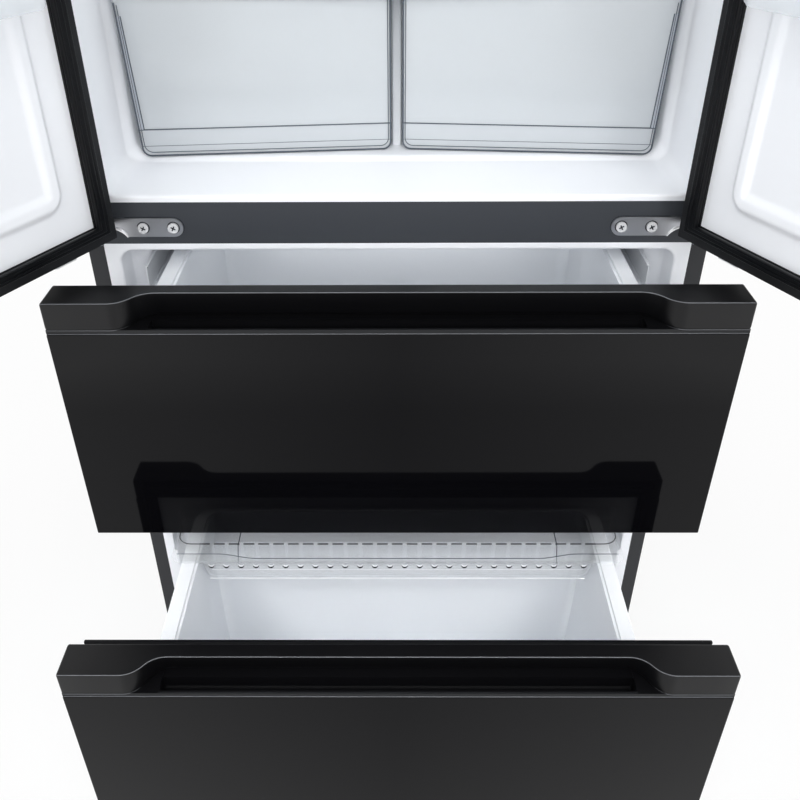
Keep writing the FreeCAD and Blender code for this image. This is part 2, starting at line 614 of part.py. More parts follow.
def sub_part(label, source, body="cabinet"):
    piece = group(label, [source])
    piece.Label = label
    if body in pulls:
        piece.setExpression("Placement.Base.y", formula(f"to_middle - {pulls[body]}"))
    else:
        side, angle = swings[body]
        piece.Placement = Placement(Vector(), Rotation(Vector(0, 0, side), value(angle)))
        piece.setExpression("Placement.Rotation.Angle", formula(angle))
        sideways = f"{side} * (hinge_x * (1 - cos({angle})) - hinge_forward * sin({angle}))"
        back = f"-hinge_forward * (1 - cos({angle})) - hinge_x * sin({angle})"
        piece.setExpression("Placement.Base.x", formula(sideways))
        piece.setExpression("Placement.Base.y", formula(f"to_middle + {back}"))
    sub_parts.append(piece)


# Case, back, beam and cross rail

across_case = across("half_width")
between_strips = across("strip_inside")
top_screw_y = ["top_screw_first", "top_screw_first + top_screw_pitch"]
mid_screws = ["mid_screw_x", "mid_screw_x + mid_screw_pitch"]


def screw_holes(name):
    # holes for the hinge screws on the right side
    holes = [rod(f"{name}_top_{k}", "z", ("top_screw_x", y, "case_top - screw_length"),
                 "2 * screw_length", "screw_hole") for k, y in enumerate(top_screw_y)]
    holes += [rod(f"{name}_mid_{k}", "y", (x, "-screw_length", "mid_screw_z"),
                  "2 * screw_length", "screw_hole") for k, x in enumerate(mid_screws)]
    return group(name, holes)


holes = both_sides("screw_holes", screw_holes("screw_holes_right"))

wrap = block("wrap_outside", across_case, ("0", "foam_back"), ("case_bottom", "case_top"))
wrap_space = block("wrap_space", ("case_skin - half_width", "half_width - case_skin"),
                   ("case_skin", "case_depth"), ("case_bottom - case_skin", "case_top - case_skin"))
wrap_mouth = block("wrap_mouth", between_strips, ("-case_skin", "2 * case_skin"),
                   ("case_bottom - case_skin", "case_top - strip_width"))
sub_part("outer_case", cut("case_wrap", wrap, wrap_space, wrap_mouth, holes))
back_y = ("foam_back", "case_depth")
sub_part("back_panel", block("back_sheet", across_case, back_y, ("machine_top", "case_top")))

beam_solid = block("beam_solid", between_strips, ("0", "beam_depth"), ("beam_bottom", "beam_top"))
beam_space = block("beam_space", between_strips, ("beam_wall", "beam_depth + beam_wall"),
                   ("beam_bottom + beam_wall", "beam_top - beam_wall"))
sub_part("mid_beam", cut("beam", beam_solid, beam_space, holes))

rail_across = across("freezer_mouth_half")
rail_solid = block("rail_solid", rail_across, ("0", "beam_depth"), ("cross_rail_low", "cross_rail_high"))
rail_space = block("rail_space", rail_across, ("beam_wall", "beam_depth + beam_wall"),
                   ("cross_rail_low + beam_wall", "cross_rail_high - beam_wall"))
sub_part("drawer_cross_rail", cut("cross_rail", rail_solid, rail_space))

# Liners and the foam round them


def rooms(prefix, spaces):
    # the hollow rooms of a liner, and the same rooms grown by the liner's wall
    hollows = []
    shells = []
    for k, (half, depth, floor, roof) in enumerate(spaces):
        room = block(f"{prefix}_room_{k}", across(half), ("-liner_wall", depth), (floor, roof))
        hollows.append(rounded(f"{prefix}_round_room_{k}", room, "y", "liner_round"))
        shells.append(block(f"{prefix}_shell_{k}", (f"-{half} - liner_wall", f"{half} + liner_wall"),
                            ("0", f"{depth} + liner_wall"),
                            (f"{floor} - liner_wall", f"{roof} + liner_wall")))
    return hollows, shells


fridge_rooms, fridge_shells = rooms("fridge", [
    ("fridge_mouth_half", "fridge_mouth_depth", "fridge_mouth_floor", "fridge_mouth_top"),
    ("fridge_half", "fridge_depth", "fridge_floor", "fridge_roof")])
freezer_rooms, freezer_shells = rooms("freezer", [
    ("freezer_mouth_half", "freezer_mouth_depth", "freezer_mouth_floor", "freezer_mouth_roof"),
    ("freezer_half", "freezer_low_depth", "freezer_floor", "freezer_roof"),
    ("freezer_half", "freezer_depth", "freezer_ledge", "freezer_roof")])
flange_y = ("0", "liner_wall")
fridge_flange = block("fridge_flange", between_strips, flange_y, ("beam_top", "case_top - strip_width"))
freezer_flange = block("freezer_flange", between_strips, flange_y, ("case_bottom", "beam_bottom"))
fridge_outside = fuse("fridge_outside", fridge_shells + [fridge_flange])
freezer_outside = fuse("freezer_outside", freezer_shells + [freezer_flange])
sub_part("fridge_liner", cut("fridge_tub", fridge_outside, *fridge_rooms))
sub_part("freezer_liner", cut("freezer_tub", freezer_outside, rail_solid, *freezer_rooms))

foam_block = block("foam_block", ("case_skin - half_width", "half_width - case_skin"),
                   ("case_skin", "foam_back"), ("case_bottom", "case_top - case_skin"))
machine_space = block("machine_space", across("machine_half"), ("machine_front", "case_depth"),
                      ("case_bottom - case_skin", "machine_top"))
hollows = [fridge_outside, freezer_outside, beam_solid, machine_space, holes]
sub_part("cabinet_foam", cut("foam", foam_block, *hollows))

# Base pan with the roller ears, kick plate, levelling feet and rollers

pan = block("pan_sheet", across_case, ("kick_front", "case_depth"), ("pan_bottom", "case_bottom"))
ear_y = ("roller_y - roller_ear_half", "roller_y + roller_ear_half")
ear_z = ("ear_low", "pan_bottom")
ears = [block("roller_ear_inner", ("ear_inner - roller_ear", "ear_inner"), ear_y, ear_z),
        block("roller_ear_outer", ("ear_outer", "ear_outer + roller_ear"), ear_y, ear_z)]
axle_span = "ear_outer - ear_inner + 2 * roller_ear"
axle_at = ("ear_inner - roller_ear", "roller_y", "roller_radius")
axle_hole = rod("axle_hole", "x", axle_at, axle_span, "axle_radius + pin_clearance")
drilled_ears = cut("drilled_ears", fuse("ear_pair", ears), axle_hole)
other_ears = mirrored("drilled_ears_mirrored", drilled_ears)
sub_part("base_pan", fuse("pan_with_ears", [pan, drilled_ears, other_ears]))

tyre = rod("roller_tyre", "x", ("roller_inner", "roller_y", "roller_radius"), "roller_width", "roller_radius")
roller = fuse("roller", [tyre, rod("roller_axle", "x", axle_at, axle_span, "axle_radius")])
sub_part("rear_roller_right", roller)
sub_part("rear_roller_left", mirrored("roller_mirrored", roller))

foot_section = [("0", "0"), ("foot_radius", "0"), ("foot_radius", "foot_pad"), ("foot_stem", "foot_pad"),
                ("foot_stem", "foot_top"), ("0", "foot_top")]
for side, sign in (("right", ""), ("left", "-")):
    sub_part("front_foot_" + side, turned("foot_" + side, foot_section, (sign + "foot_x", "foot_y", "0")))

sub_part("kick_plate", block("kick_sheet", across("kick_half"), ("kick_front", "kick_front + kick_thickness"),
                             ("kick_bottom", "pan_bottom")))

# Hinges, their screws and the covers on top

mid_plate = block("mid_plate", ("hinge_plate_inner", "hinge_plate_outer"), ("-hinge_plate", "0"),
                  ("hinge_plate_low", "hinge_plate_high"))
mid_arm = block("mid_arm", ("hinge_x - hinge_arm_half", "hinge_x + hinge_arm_half"),
                ("-hinge_forward - hinge_arm_half", "0"), ("hinge_plate_low", "hinge_plate_low + hinge_arm"))
mid_pin = rod("mid_pin", "z", ("hinge_x", "-hinge_forward", "hinge_plate_low"),
              "door_bottom + pin_reach - hinge_plate_low", "pin_radius")
mid_solid = fuse("mid_hinge_solid", [rounded("mid_plate_round", mid_plate, "y", "hinge_plate_round"),
                                     rounded("mid_arm_round", mid_arm, "z", "arm_round"), mid_pin])
mid_hinge = cut("mid_hinge", mid_solid, screw_holes("mid_hinge_holes"))
sub_part("mid_hinges", both_sides("mid_hinge_pair", mid_hinge))

plate_x = ("hinge_x - top_hinge_inner", "hinge_x + top_hinge_outer")
plate_y = ("-hinge_forward - top_hinge_outer", "top_hinge_length")
top_plate = block("top_plate", plate_x, plate_y, ("case_top", "top_screw_seat"))
top_pin = rod("top_pin", "z", ("hinge_x", "-hinge_forward", "door_top - pin_reach"),
              "top_screw_seat - door_top + pin_reach", "pin_radius")
round_plate = rounded("top_plate_round", top_plate, "z", "hinge_plate_round")
top_hinge = cut("top_hinge", fuse("top_hinge_solid", [round_plate, top_pin]), screw_holes("top_hinge_holes"))
sub_part("top_hinges", both_sides("top_hinge_pair", top_hinge))

cover_in_x = (f"{plate_x[0]} - cover_clearance", f"{plate_x[1]} + cover_clearance")
cover_in_y = (f"{plate_y[0]} - cover_clearance", f"{plate_y[1]} + cover_clearance")
cover_solid = block("cover_solid", (f"{cover_in_x[0]} - cover_wall", f"{cover_in_x[1]} + cover_wall"),
                    (f"{cover_in_y[0]} - cover_wall", f"{cover_in_y[1]} + cover_wall"),
                    ("case_top", "case_top + cover_height"))
cover_space = block("cover_space", cover_in_x, cover_in_y,
                    ("case_top - cover_wall", "case_top + cover_height - cover_wall"))
cover = cut("cover", rounded("cover_round", cover_solid, "z", "hinge_plate_round"), cover_space)
sub_part("top_hinge_covers", both_sides("cover_pair", cover))

screws = []
for k, x in enumerate(mid_screws):
    head = rod(f"mid_head_{k}", "y", (x, "-hinge_plate - screw_head_height", "mid_screw_z"),
               "screw_head_height", "screw_head")
    shank = rod(f"mid_shank_{k}", "y", (x, "-hinge_plate", "mid_screw_z"), "screw_length", "screw_radius")
    screws.append(fuse(f"mid_screw_{k}", [head, shank]))
for k, y in enumerate(top_screw_y):
    head = rod(f"top_head_{k}", "z", ("top_screw_x", y, "top_screw_seat"), "screw_head_height", "screw_head")
    shank = rod(f"top_shank_{k}", "z", ("top_screw_x", y, "top_screw_seat - screw_length"),
                "screw_length", "screw_radius")
    screws.append(fuse(f"top_screw_{k}", [head, shank]))
sub_part("hinge_screws", both_sides("screw_pair", group("screws_right", screws)))

# Doors, drawn shut on the right side and mirrored for the left

door_x = ("door_free", "half_width")
door_z = ("door_bottom", "door_top")
hole_depth = "pin_reach + pin_end_gap"
hole_radius = "pin_radius + pin_clearance"
pin_holes = group("pin_holes", [
    rod("pin_hole_" + end, "z", ("hinge_x", "-hinge_forward", start), hole_depth, hole_radius)
    for end, start in (("low", "door_bottom"), ("high", f"door_top - ({hole_depth})"))])
door_glass = block("door_glass", door_x, ("front_face", "glass_back"), door_z)
door_body = cut("door_body", block("door_block", door_x, ("glass_back", "front_back"), door_z), pin_holes)

gasket_y = ("front_back", "-gasket_clearance")
door_gasket = ring("door_gasket", ("door_gasket_inner", "door_gasket_outer"), gasket_y,
                   ("door_gasket_low", "door_gasket_high"), "door_gasket_band", "gasket_round")

sheet_y = ("front_back", "front_back + door_liner_plate")
door_sheet = block("door_sheet",
                   ("door_gasket_inner + door_sheet_edge", "door_gasket_outer - door_sheet_edge"), sheet_y,
                   ("door_gasket_low + door_sheet_edge", "door_gasket_high - door_sheet_edge"))
plug = block("door_plug", ("plug_free", "plug_side"), ("front_back", "front_back + plug_height"),
             ("plug_low", "plug_high"))
plug_space = block("door_plug_space", ("plug_free + plug_wall", "plug_side - plug_wall"),
                   ("plug_floor", "plug_floor + plug_height"),
                   ("plug_low + plug_wall", "plug_high - plug_wall"))
round_plug = rounded("plug_rounded", plug, "y", "plug_round")
door_liner = cut("door_liner", fuse("door_liner_solid", [door_sheet, round_plug]), plug_space)

bins = []
for k in range(int(value("bin_room / bin_pitch")) + 1):
    floor = f"bin_low + {k} * bin_pitch"
    outside = block(f"bin_outside_{k}", ("bin_inner", "bin_outer"), ("plug_floor + running_gap", "bin_reach"),
                    (floor, f"{floor} + bin_height"))
    inside = block(f"bin_inside_{k}", ("bin_inner + bin_wall", "bin_outer - bin_wall"),
                   ("plug_floor + running_gap + bin_wall", "bin_reach - bin_wall"),
                   (f"{floor} + bin_wall", f"{floor} + bin_height + bin_wall"))
    bins.append(cut(f"bin_{k}", outside, inside))
door_bins = group("door_bin_set", bins)

# Mullion bar, folded beside the left door's plug, with the ears that carry its pivots

mullion = fuse("mullion", [
    block("mullion_solid", ("mullion_inner", "mullion_outer"),
          ("mullion_front", "mullion_front + mullion_width"), ("mullion_low", "mullion_high")),
    rod("mullion_pivot", "z", ("pivot_x", "pivot_y", "mullion_low - mullion_pin_length"),
        "mullion_high - mullion_low + 2 * mullion_pin_length", "mullion_pin")])
ear_heights = {"low": ("mullion_low - running_gap - ear_height", "mullion_low - running_gap"),
               "high": ("mullion_high + running_gap", "mullion_high + running_gap + ear_height")}
mullion_ears = [block("mullion_ear_" + end, ("mullion_inner + ear_inset", "mullion_outer - ear_inset"),
                      ("front_back", "mullion_front + mullion_thickness"), z)
                for end, z in ear_heights.items()]
pivot_hole = rod("pivot_hole", "z", ("pivot_x", "pivot_y", ear_heights["low"][0]),
                 "mullion_high - mullion_low + 2 * (running_gap + ear_height)", "mullion_pin + pin_clearance")
left_liner = cut("left_liner", fuse("left_liner_solid", [door_liner] + mullion_ears), pivot_hole)

door_pieces = {"glass": door_glass, "body": door_body, "gasket": door_gasket, "bins": door_bins}
for piece, source in door_pieces.items():
    sub_part("right_door_" + piece, source, "right_door")
    sub_part("left_door_" + piece, mirrored(f"left_{piece}_mirrored", source), "left_door")
sub_part("right_door_liner", door_liner, "right_door")
sub_part("left_door_liner", mirrored("left_liner_mirrored", left_liner), "left_door")
sub_part("mullion_bar", mirrored("mullion_mirrored", mullion), "left_door")

# Freezer drawers with their runners


def grip_recess(name, top):
    # the scoop in the handle trim: an S of two equal arcs at each end, open to the front and the top
    rise = value("grip_setback")
    run = value("grip_sweep")
    front = value("front_face")
    start = value("half_width - grip_land")
    chord = (run * run + rise * rise) ** 0.5 / 2
    bend = chord * chord / rise
    sagitta = bend - (bend * bend - chord * chord / 4) ** 0.5
    low = Vector(start, front, 0)
    middle = Vector(start - run / 2, front + rise / 2, 0)
    high = Vector(start - run, front + rise, 0)
    bulge = Vector(-rise, -run, 0).normalize() * sagitta
    curve = [Part.Arc(low, (low + middle) / 2 + bulge, middle).toShape(),
             Part.Arc(middle, (middle + high) / 2 - bulge, high).toShape()]
    flip = FreeCAD.Matrix()
    flip.scale(-1, 1, 1)
    corners = [low, Vector(start, front - rise, 0), Vector(-start, front - rise, 0), Vector(-start, front, 0)]
    straight = [Part.makeLine(high, Vector(-high.x, high.y, 0))]
    straight += [Part.makeLine(first, second) for first, second in zip(corners, corners[1:])]
    mirrored_curve = [edge.transformGeometry(flip) for edge in curve]
    loop = Part.Wire(Part.__sortEdges__(curve + mirrored_curve + straight))
    recess = doc.addObject("Part::Feature", name)
    recess.Shape = Part.Face(loop).extrude(Vector(0, 0, 2 * value("trim_height")))
    recess.Placement = Placement(Vector(0, 0, value(f"{top} - trim_height")), Rotation())
    return recess


def drawer(name, bottom, top, box_back, rail_back):
    body = name + "_drawer"
    trim_bottom = f"{top} - trim_height"
    glass_top = f"{trim_bottom} - ledge_height"
    grip_back = "front_face + grip_setback"
    glass = block(name + "_glass", across_case, ("front_face", "glass_back"), (bottom, glass_top))
    trough = block(name + "_trough", ("-grip_half - grip_wall", "grip_half + grip_wall"),
                   ("glass_back", f"{grip_back} + grip_wall"),
                   (f"{trim_bottom} - grip_depth - grip_wall", trim_bottom))
    fingers = block(name + "_fingers", across("grip_half"), ("glass_back + grip_wall", grip_back),
                    (f"{trim_bottom} - grip_depth", f"{trim_bottom} + grip_wall"))
    trim = block(name + "_trim", across_case, ("front_face", "front_back"), (trim_bottom, top))
    handle_solid = fuse(name + "_handle_solid", [trim, trough])
    handle = cut(name + "_handle", handle_solid, fingers, grip_recess(name + "_recess", top))
    core = block(name + "_core", across_case, ("glass_back", "front_back"), (bottom, trim_bottom))
    ledge = block(name + "_ledge", across_case, ("glass_back - ledge_depth", "glass_back"),
                  (glass_top, trim_bottom))
    front = cut(name + "_front", fuse(name + "_front_solid", [core, ledge]), trough)

    gasket_z = (f"{bottom} + drawer_gasket_bottom", f"{top} - drawer_gasket_top")
    gasket = ring(name + "_gasket", across("drawer_gasket_half"), gasket_y, gasket_z,
                  "drawer_gasket_band", "gasket_round")
    liner_back = block(name + "_liner_sheet", across("drawer_sheet_half"), sheet_y,
                       (f"{gasket_z[0]} + drawer_sheet_edge", f"{gasket_z[1]} - drawer_sheet_edge"))
    plug_block = block(name + "_plug_block", across("drawer_plug_half"), ("front_back", "drawer_plug_back"),
                       (f"{bottom} + drawer_plug_margin", f"{top} - drawer_plug_margin"))
    bevelled_plug = bevelled_back(name + "_plug", plug_block, "drawer_plug_bevel")
    liner = fuse(name + "_liner", [liner_back, bevelled_plug])

    rim_top = f"({top} - rim_drop)"
    floor = f"({bottom} + freezer_frame_margin + box_floor_gap)"
    outside = tapered(name + "_box_outside",
                      (*across("box_foot_half"), "drawer_plug_back", f"{box_back} - box_taper"),
                      (*across("box_half"), "drawer_plug_back", box_back), (floor, rim_top))
    inside_front = "drawer_plug_back + box_wall"
    inside = tapered(name + "_box_inside",
                     ("box_wall - box_foot_half", "box_foot_half - box_wall", inside_front,
                      f"{box_back} - box_taper - box_wall"),
                     ("box_wall - box_half", "box_half - box_wall", inside_front, f"{box_back} - box_wall"),
                     (f"{floor} + box_wall", rim_top))
    box_y = ("drawer_plug_back", box_back)
    rim = block(name + "_rim", across("rim_outer"), box_y, (f"{rim_top} - rim_thickness", rim_top))
    box_solid = fuse(name + "_box_solid", [rounded(name + "_box_round", outside, "z", "box_round"), rim])
    box = cut(name + "_box", box_solid, rounded(name + "_box_inside_round", inside, "z", "box_round"))

    middle = f"{rim_top} - rim_thickness - slide_half"
    rails_y = ("rail_start", f"{rail_back} - rail_end_gap")
    slide = channel(name + "_slide", "slide_inner", "slide_outer", middle, "slide_half", box_y)
    runner = channel(name + "_runner", "runner_inner", "runner_outer", middle, "runner_half", rails_y)
    rail = channel(name + "_rail", "rail_inner", "freezer_half", middle, "rail_half", rails_y)

    pieces = {"glass": glass, "handle": handle, "body": front, "gasket": gasket, "liner": liner, "box": box,
              "slides": both_sides(name + "_slide_pair", slide)}
    for piece, source in pieces.items():
        sub_part(f"{body}_{piece}", source, body)
    sub_part(name + "_runner_middles", both_sides(name + "_runner_pair", runner), name + "_runners")
    return both_sides(name + "_rail_pair", rail)


fixed_rails = [drawer("upper", "upper_bottom", "upper_top", "upper_box_back", "back_cover"),
               drawer("lower", "lower_bottom", "lower_top", "lower_box_back", "freezer_low_depth")]
sub_part("runner_rails", group("fixed_rails", fixed_rails))

# Clear tray that slides on the lower box's rims

flange = block("tray_flange", across("tray_half"), ("tray_front", "tray_back"), ("flange_low", "flange_high"))
apron = block("tray_apron_wall", across("tray_half"), ("tray_front", "tray_front + tray_wall"),
              ("flange_low", "flange_high + tray_apron"))
dip_z = "flange_high + tray_apron - tray_dip + dip_radius"
dip = rod("tray_dip_cut", "y", ("0", "tray_front - tray_wall", dip_z), "3 * tray_wall", "dip_radius")
tub = block("tray_tub", across("tub_half"), ("tub_front", "tub_back"), ("tub_floor", "flange_high"))
comb = block("tray_comb", across("tub_half"), ("tub_front", "comb_back"), ("tub_floor", "comb_top"))
tub_space = block("tray_tub_space", ("tray_wall - tub_half", "tub_half - tray_wall"),
                  ("comb_back", "tub_back - tray_wall"), ("tub_floor + tray_wall", "flange_high + tray_wall"))
slot_count = int(value("2 * tub_half / comb_pitch - 1"))
slots = []
for k in range(slot_count):
    middle = f"({k} - {(slot_count - 1) / 2}) * comb_pitch"
    slots.append(block(f"comb_slot_{k}", (f"{middle} - comb_slot / 2", f"{middle} + comb_slot / 2"),
                       ("tub_front - tray_wall", "comb_back + tray_wall"),
                       ("comb_top - comb_depth", "comb_top + tray_wall")))
tray_solid = fuse("tray_solid", [flange, cut("tray_dipped_apron", apron, dip), tub, comb])
sub_part("freezer_tray", cut("tray", tray_solid, tub_space, *slots), "lower_drawer")

# Crispers, their frame, the glass shelves and the shelf trims


def crisper_corners(wall, taper, lean):
    inner = f"crisper_gap + {taper} / 2 + {wall}"
    outer = f"crisper_half - {taper} - {wall}"
    front = f"crisper_front - {lean} + {wall}"
    back = f"crisper_back - {taper} - {wall}"
    return [(outer, front), (outer, back), (inner, back), (inner, f"{front} + crisper_sweep")]


crisper = doc.addObject("PartDesign::Body", "crisper")
lofted(crisper, "AdditiveLoft", "crisper_outside",
       crisper_corners("0", "crisper_taper", "0"), "crisper_floor",
       crisper_corners("0", "0", "crisper_lean"), "crisper_top")
lofted(crisper, "SubtractiveLoft", "crisper_inside",
       crisper_corners("crisper_wall", "crisper_taper", "0"), "crisper_floor + crisper_wall",
       crisper_corners("crisper_wall", "0", "crisper_lean"), "crisper_top")
sub_part("crisper_right", crisper)
sub_part("crisper_left", mirrored("crisper_mirrored", crisper))

laid_x = across("laid_half")
frame_y = ("frame_front", "crisper_back")
frame_solid = block("frame_solid", laid_x, frame_y, ("frame_low", "frame_high"))
frame_space = block("frame_space", ("frame_bar / 2", "laid_half - frame_bar"),
                    ("frame_front + frame_bar", "crisper_back - frame_bar"),
                    ("frame_low - frame_rise", "frame_high + frame_rise"))
sub_part("crisper_frame", cut("frame", frame_solid, both_sides("frame_spaces", frame_space)))

shelves = [block("crisper_cover_glass", laid_x, frame_y, ("frame_high", "crisper_cover"))]
trims = []
for k in range(int(value("shelf_room / shelf_pitch"))):
    low = f"crisper_cover + {k + 1} * shelf_pitch"
    pane = block(f"shelf_{k}", laid_x, ("shelf_front + trim_depth / 2", "shelf_back - trim_depth / 2"),
                 (low, f"{low} + shelf_glass"))
    shelves.append(pane)
    for end, y in (("front", "shelf_front"), ("back", "shelf_back - trim_depth")):
        bar = block(f"trim_{end}_{k}", laid_x, (y, f"{y} + trim_depth"),
                    (f"{low} - trim_lip", f"{low} + shelf_glass + trim_lip"))
        trims.append(cut(f"trim_{end}_grooved_{k}", bar, pane))
sub_part("glass_shelves", group("shelf_set", shelves))
sub_part("shelf_trims", group("trim_set", trims))

# Air duct on the fridge's back wall

duct_solid = block("duct_solid", across("duct_half"), ("duct_front", "fridge_depth"),
                   ("duct_low", "duct_high"))
duct_space = block("duct_space", ("duct_wall - duct_half", "duct_half - duct_wall"),
                   ("duct_front + duct_wall", "fridge_depth + duct_wall"),
                   ("duct_low + duct_wall", "duct_high - duct_wall"))
air_slots = []
for k in range(int(value("duct_slots"))):
    middle = f"duct_low + {k + 1} * duct_slot_step"
    air_slots.append(block(f"air_slot_{k}", across("duct_slot_half"),
                           ("duct_front - duct_wall", "duct_front + 2 * duct_wall"),
                           (f"{middle} - duct_slot / 2", f"{middle} + duct_slot / 2")))
sub_part("air_duct_panel", cut("duct", duct_solid, duct_space, *air_slots))

# Fans, each on a pin in the middle of the spokes across an opening


def fan(name, along, start):
    # hub and blades about one axis, from the hub's near end
    hub = rod(name + "_hub", along, start, "fan_depth", "fan_hub")
    blades = []
    count = int(value("fan_blade_count"))
    for k in range(count):
        blade = block(f"{name}_blade_{k}", ("fan_hub - fan_blade", "fan_radius"),
                      ("-fan_blade / 2", "fan_blade / 2"),
                      ("fan_blade - fan_depth / 2", "fan_depth / 2 - fan_blade"))
        blade.Placement = Placement(Vector(), Rotation(Vector(1, 0, 0), value("fan_pitch_angle")))
        spun = group(f"{name}_spun_{k}", [blade])
        spun.Placement = Placement(Vector(), Rotation(Vector(0, 0, 1), 360 * k / count))
        blades.append(spun)
    wheel = group(name + "_wheel", blades)
    wheel.Placement = Placement(Vector(), axis_turns[along])
    for axis, words in zip("xyz", start):
        middle = f"{words} + fan_depth / 2" if axis == along else words
        wheel.setExpression("Placement.Base." + axis, formula(middle))
    bore = rod(name + "_bore", along, start, "fan_depth", "fan_pin + pin_clearance")
    return cut(name + "_turning", fuse(name + "_solid", [hub, wheel]), bore)


spoke_z = "spoke_width / 2"
fan_pin_length = "running_gap + fan_depth"
cover_y = ("back_cover", "back_cover_back")
cover_plate = block("cover_plate", ("running_gap - freezer_half", "freezer_half - running_gap"), cover_y,
                    ("freezer_ledge + back_cover_lift", "freezer_roof - running_gap"))
cold_axis = ("0", "back_cover", "cold_fan_z")
cover_opening = rod("cover_opening", "y", cold_axis, "back_cover_wall", "fan_opening")
spoke_reach = "fan_opening + spoke_width"
cover_spokes = [
    block("cover_spoke_across", (f"-({spoke_reach})", spoke_reach), cover_y,
          (f"cold_fan_z - {spoke_z}", f"cold_fan_z + {spoke_z}")),
    block("cover_spoke_up", across(spoke_z), cover_y,
          (f"cold_fan_z - ({spoke_reach})", f"cold_fan_z + {spoke_reach}"))]
cover_pin = rod("cover_pin", "y", cold_axis, f"back_cover_wall + {fan_pin_length}", "fan_pin")
round_cover = rounded("cover_plate_round", cover_plate, "y", "liner_round")
cover_cut = cut("cover_cut", round_cover, cover_opening)
sub_part("freezer_back_cover", fuse("back_cover_made", [cover_cut, *cover_spokes, cover_pin]))
sub_part("evaporator_fan", fan("cold_fan", "y", ("0", "back_cover_back + running_gap", "cold_fan_z")))

bracket_span = ("bracket_x", "bracket_back")
bracket_reach = "fan_opening + bracket_wall"
bracket_plate = block("bracket_plate", bracket_span, ("machine_y - bracket_half", "machine_y + bracket_half"),
                      ("case_bottom", "case_bottom + bracket_height"))
warm_axis = ("bracket_x", "machine_y", "warm_fan_z")
bracket_opening = rod("bracket_opening", "x", warm_axis, "bracket_wall", "fan_opening")
bracket_spokes = [
    block("bracket_spoke_along", bracket_span,
          (f"machine_y - ({bracket_reach})", f"machine_y + {bracket_reach}"),
          (f"warm_fan_z - {spoke_z}", f"warm_fan_z + {spoke_z}")),
    block("bracket_spoke_up", bracket_span, (f"machine_y - {spoke_z}", f"machine_y + {spoke_z}"),
          (f"warm_fan_z - ({bracket_reach})", f"warm_fan_z + {bracket_reach}"))]
bracket_pin = rod("bracket_pin", "x", warm_axis, f"bracket_wall + {fan_pin_length}", "fan_pin")
bracket_cut = cut("bracket_cut", bracket_plate, bracket_opening)
sub_part("fan_bracket", fuse("bracket_made", [bracket_cut, *bracket_spokes, bracket_pin]))
sub_part("condenser_fan", fan("warm_fan", "x", ("bracket_back + running_gap", "machine_y", "warm_fan_z")))

# Evaporator, condenser and compressor


def finned_coil(name, x, y, z):
    # upright fins on straight tubes that run across the case
    fin_gaps = int(value(f"({x[1]} - ({x[0]})) / fin_pitch"))
    fins = []
    for k in range(fin_gaps + 1):
        start = f"{x[0]} + {k} * fin_pitch"
        fins.append(block(f"{name}_fin_{k}", (start, f"{start} + fin_thickness"), y, z))
    tubes = []
    tube_length = f"{fin_gaps} * fin_pitch + fin_thickness"
    for k in range(int(value(f"({z[1]} - ({z[0]})) / tube_pitch"))):
        tube_at = (x[0], f"({y[0]} + {y[1]}) / 2", f"{z[0]} + {k} * tube_pitch + tube_pitch / 2")
        tubes.append(rod(f"{name}_tube_{k}", "x", tube_at, tube_length, "tube_radius"))
    return fuse(name, fins + tubes)


coil_y = ("coil_back - coil_depth", "coil_back")
sub_part("evaporator", finned_coil("cold_coil", across("coil_half"), coil_y, ("coil_low", "coil_high")))
warm_y = ("machine_y - condenser_depth / 2", "machine_y + condenser_depth / 2")
warm_z = ("case_bottom", "case_bottom + condenser_height")
sub_part("condenser", finned_coil("warm_coil", ("condenser_start", "condenser_end"), warm_y, warm_z))

compressor_base = block("compressor_base",
                        ("compressor_x - compressor_foot / 2", "compressor_x + compressor_foot / 2"),
                        ("machine_y - compressor_radius", "machine_y + compressor_radius"),
                        ("case_bottom", "case_bottom + compressor_plate"))
shell_section = [("0", "0"), ("compressor_radius", "0"), ("compressor_radius", "dome_start"),
                 ("dome_radius + compressor_dome * cos(45)", "dome_start + compressor_dome * sin(45)"),
                 ("dome_radius", "compressor_height"), ("0", "compressor_height")]
compressor_shell = turned("compressor_shell", shell_section, ("compressor_x", "machine_y", "case_bottom"))
sub_part("compressor", fuse("compressor_made", [compressor_base, compressor_shell]))

# Rear cover over the machine space, with its slots and the cable gland

rear_sheet = block("rear_sheet", across_case, back_y, ("case_bottom", "machine_top"))
rear_slots = []
for k in range(int(value("grille_count"))):
    low = f"case_bottom + {k + 1} * grille_pitch"
    rear_slots.append(block(f"rear_slot_{k}", across("grille_half"), back_y, (low, f"{low} + grille_slot")))
gland_at = ("gland_x", "foam_back", "gland_z")
gland_length = "back_thickness + gland_length"
gland = rod("gland", "y", gland_at, gland_length, "gland_radius")
gland_hole = rod("gland_hole", "y", gland_at, gland_length, "gland_bore")
rear_solid = fuse("rear_with_gland", [rear_sheet, gland])
sub_part("rear_cover", cut("rear_cover_made", rear_solid, gland_hole, *rear_slots))

# Test every object, then write one file for each sub-part

doc.recompute()
faults = [thing.Label for thing in doc.Objects if {"Invalid", "Error"} & set(thing.State)]
faults += [piece.Label for piece in sub_parts if piece.Shape.isNull() or not piece.Shape.isValid()]
if faults:
    raise RuntimeError("not sound: " + ", ".join(faults))
os.makedirs("parts", exist_ok=True)
for piece in sub_parts:
    piece.Shape.exportStep(f"parts/{piece.Label}.step")
print(f"{len(sub_parts)} sub-parts written")
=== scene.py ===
import json
import math

import bmesh
import bpy
import numpy as np
from mathutils import Matrix, Vector


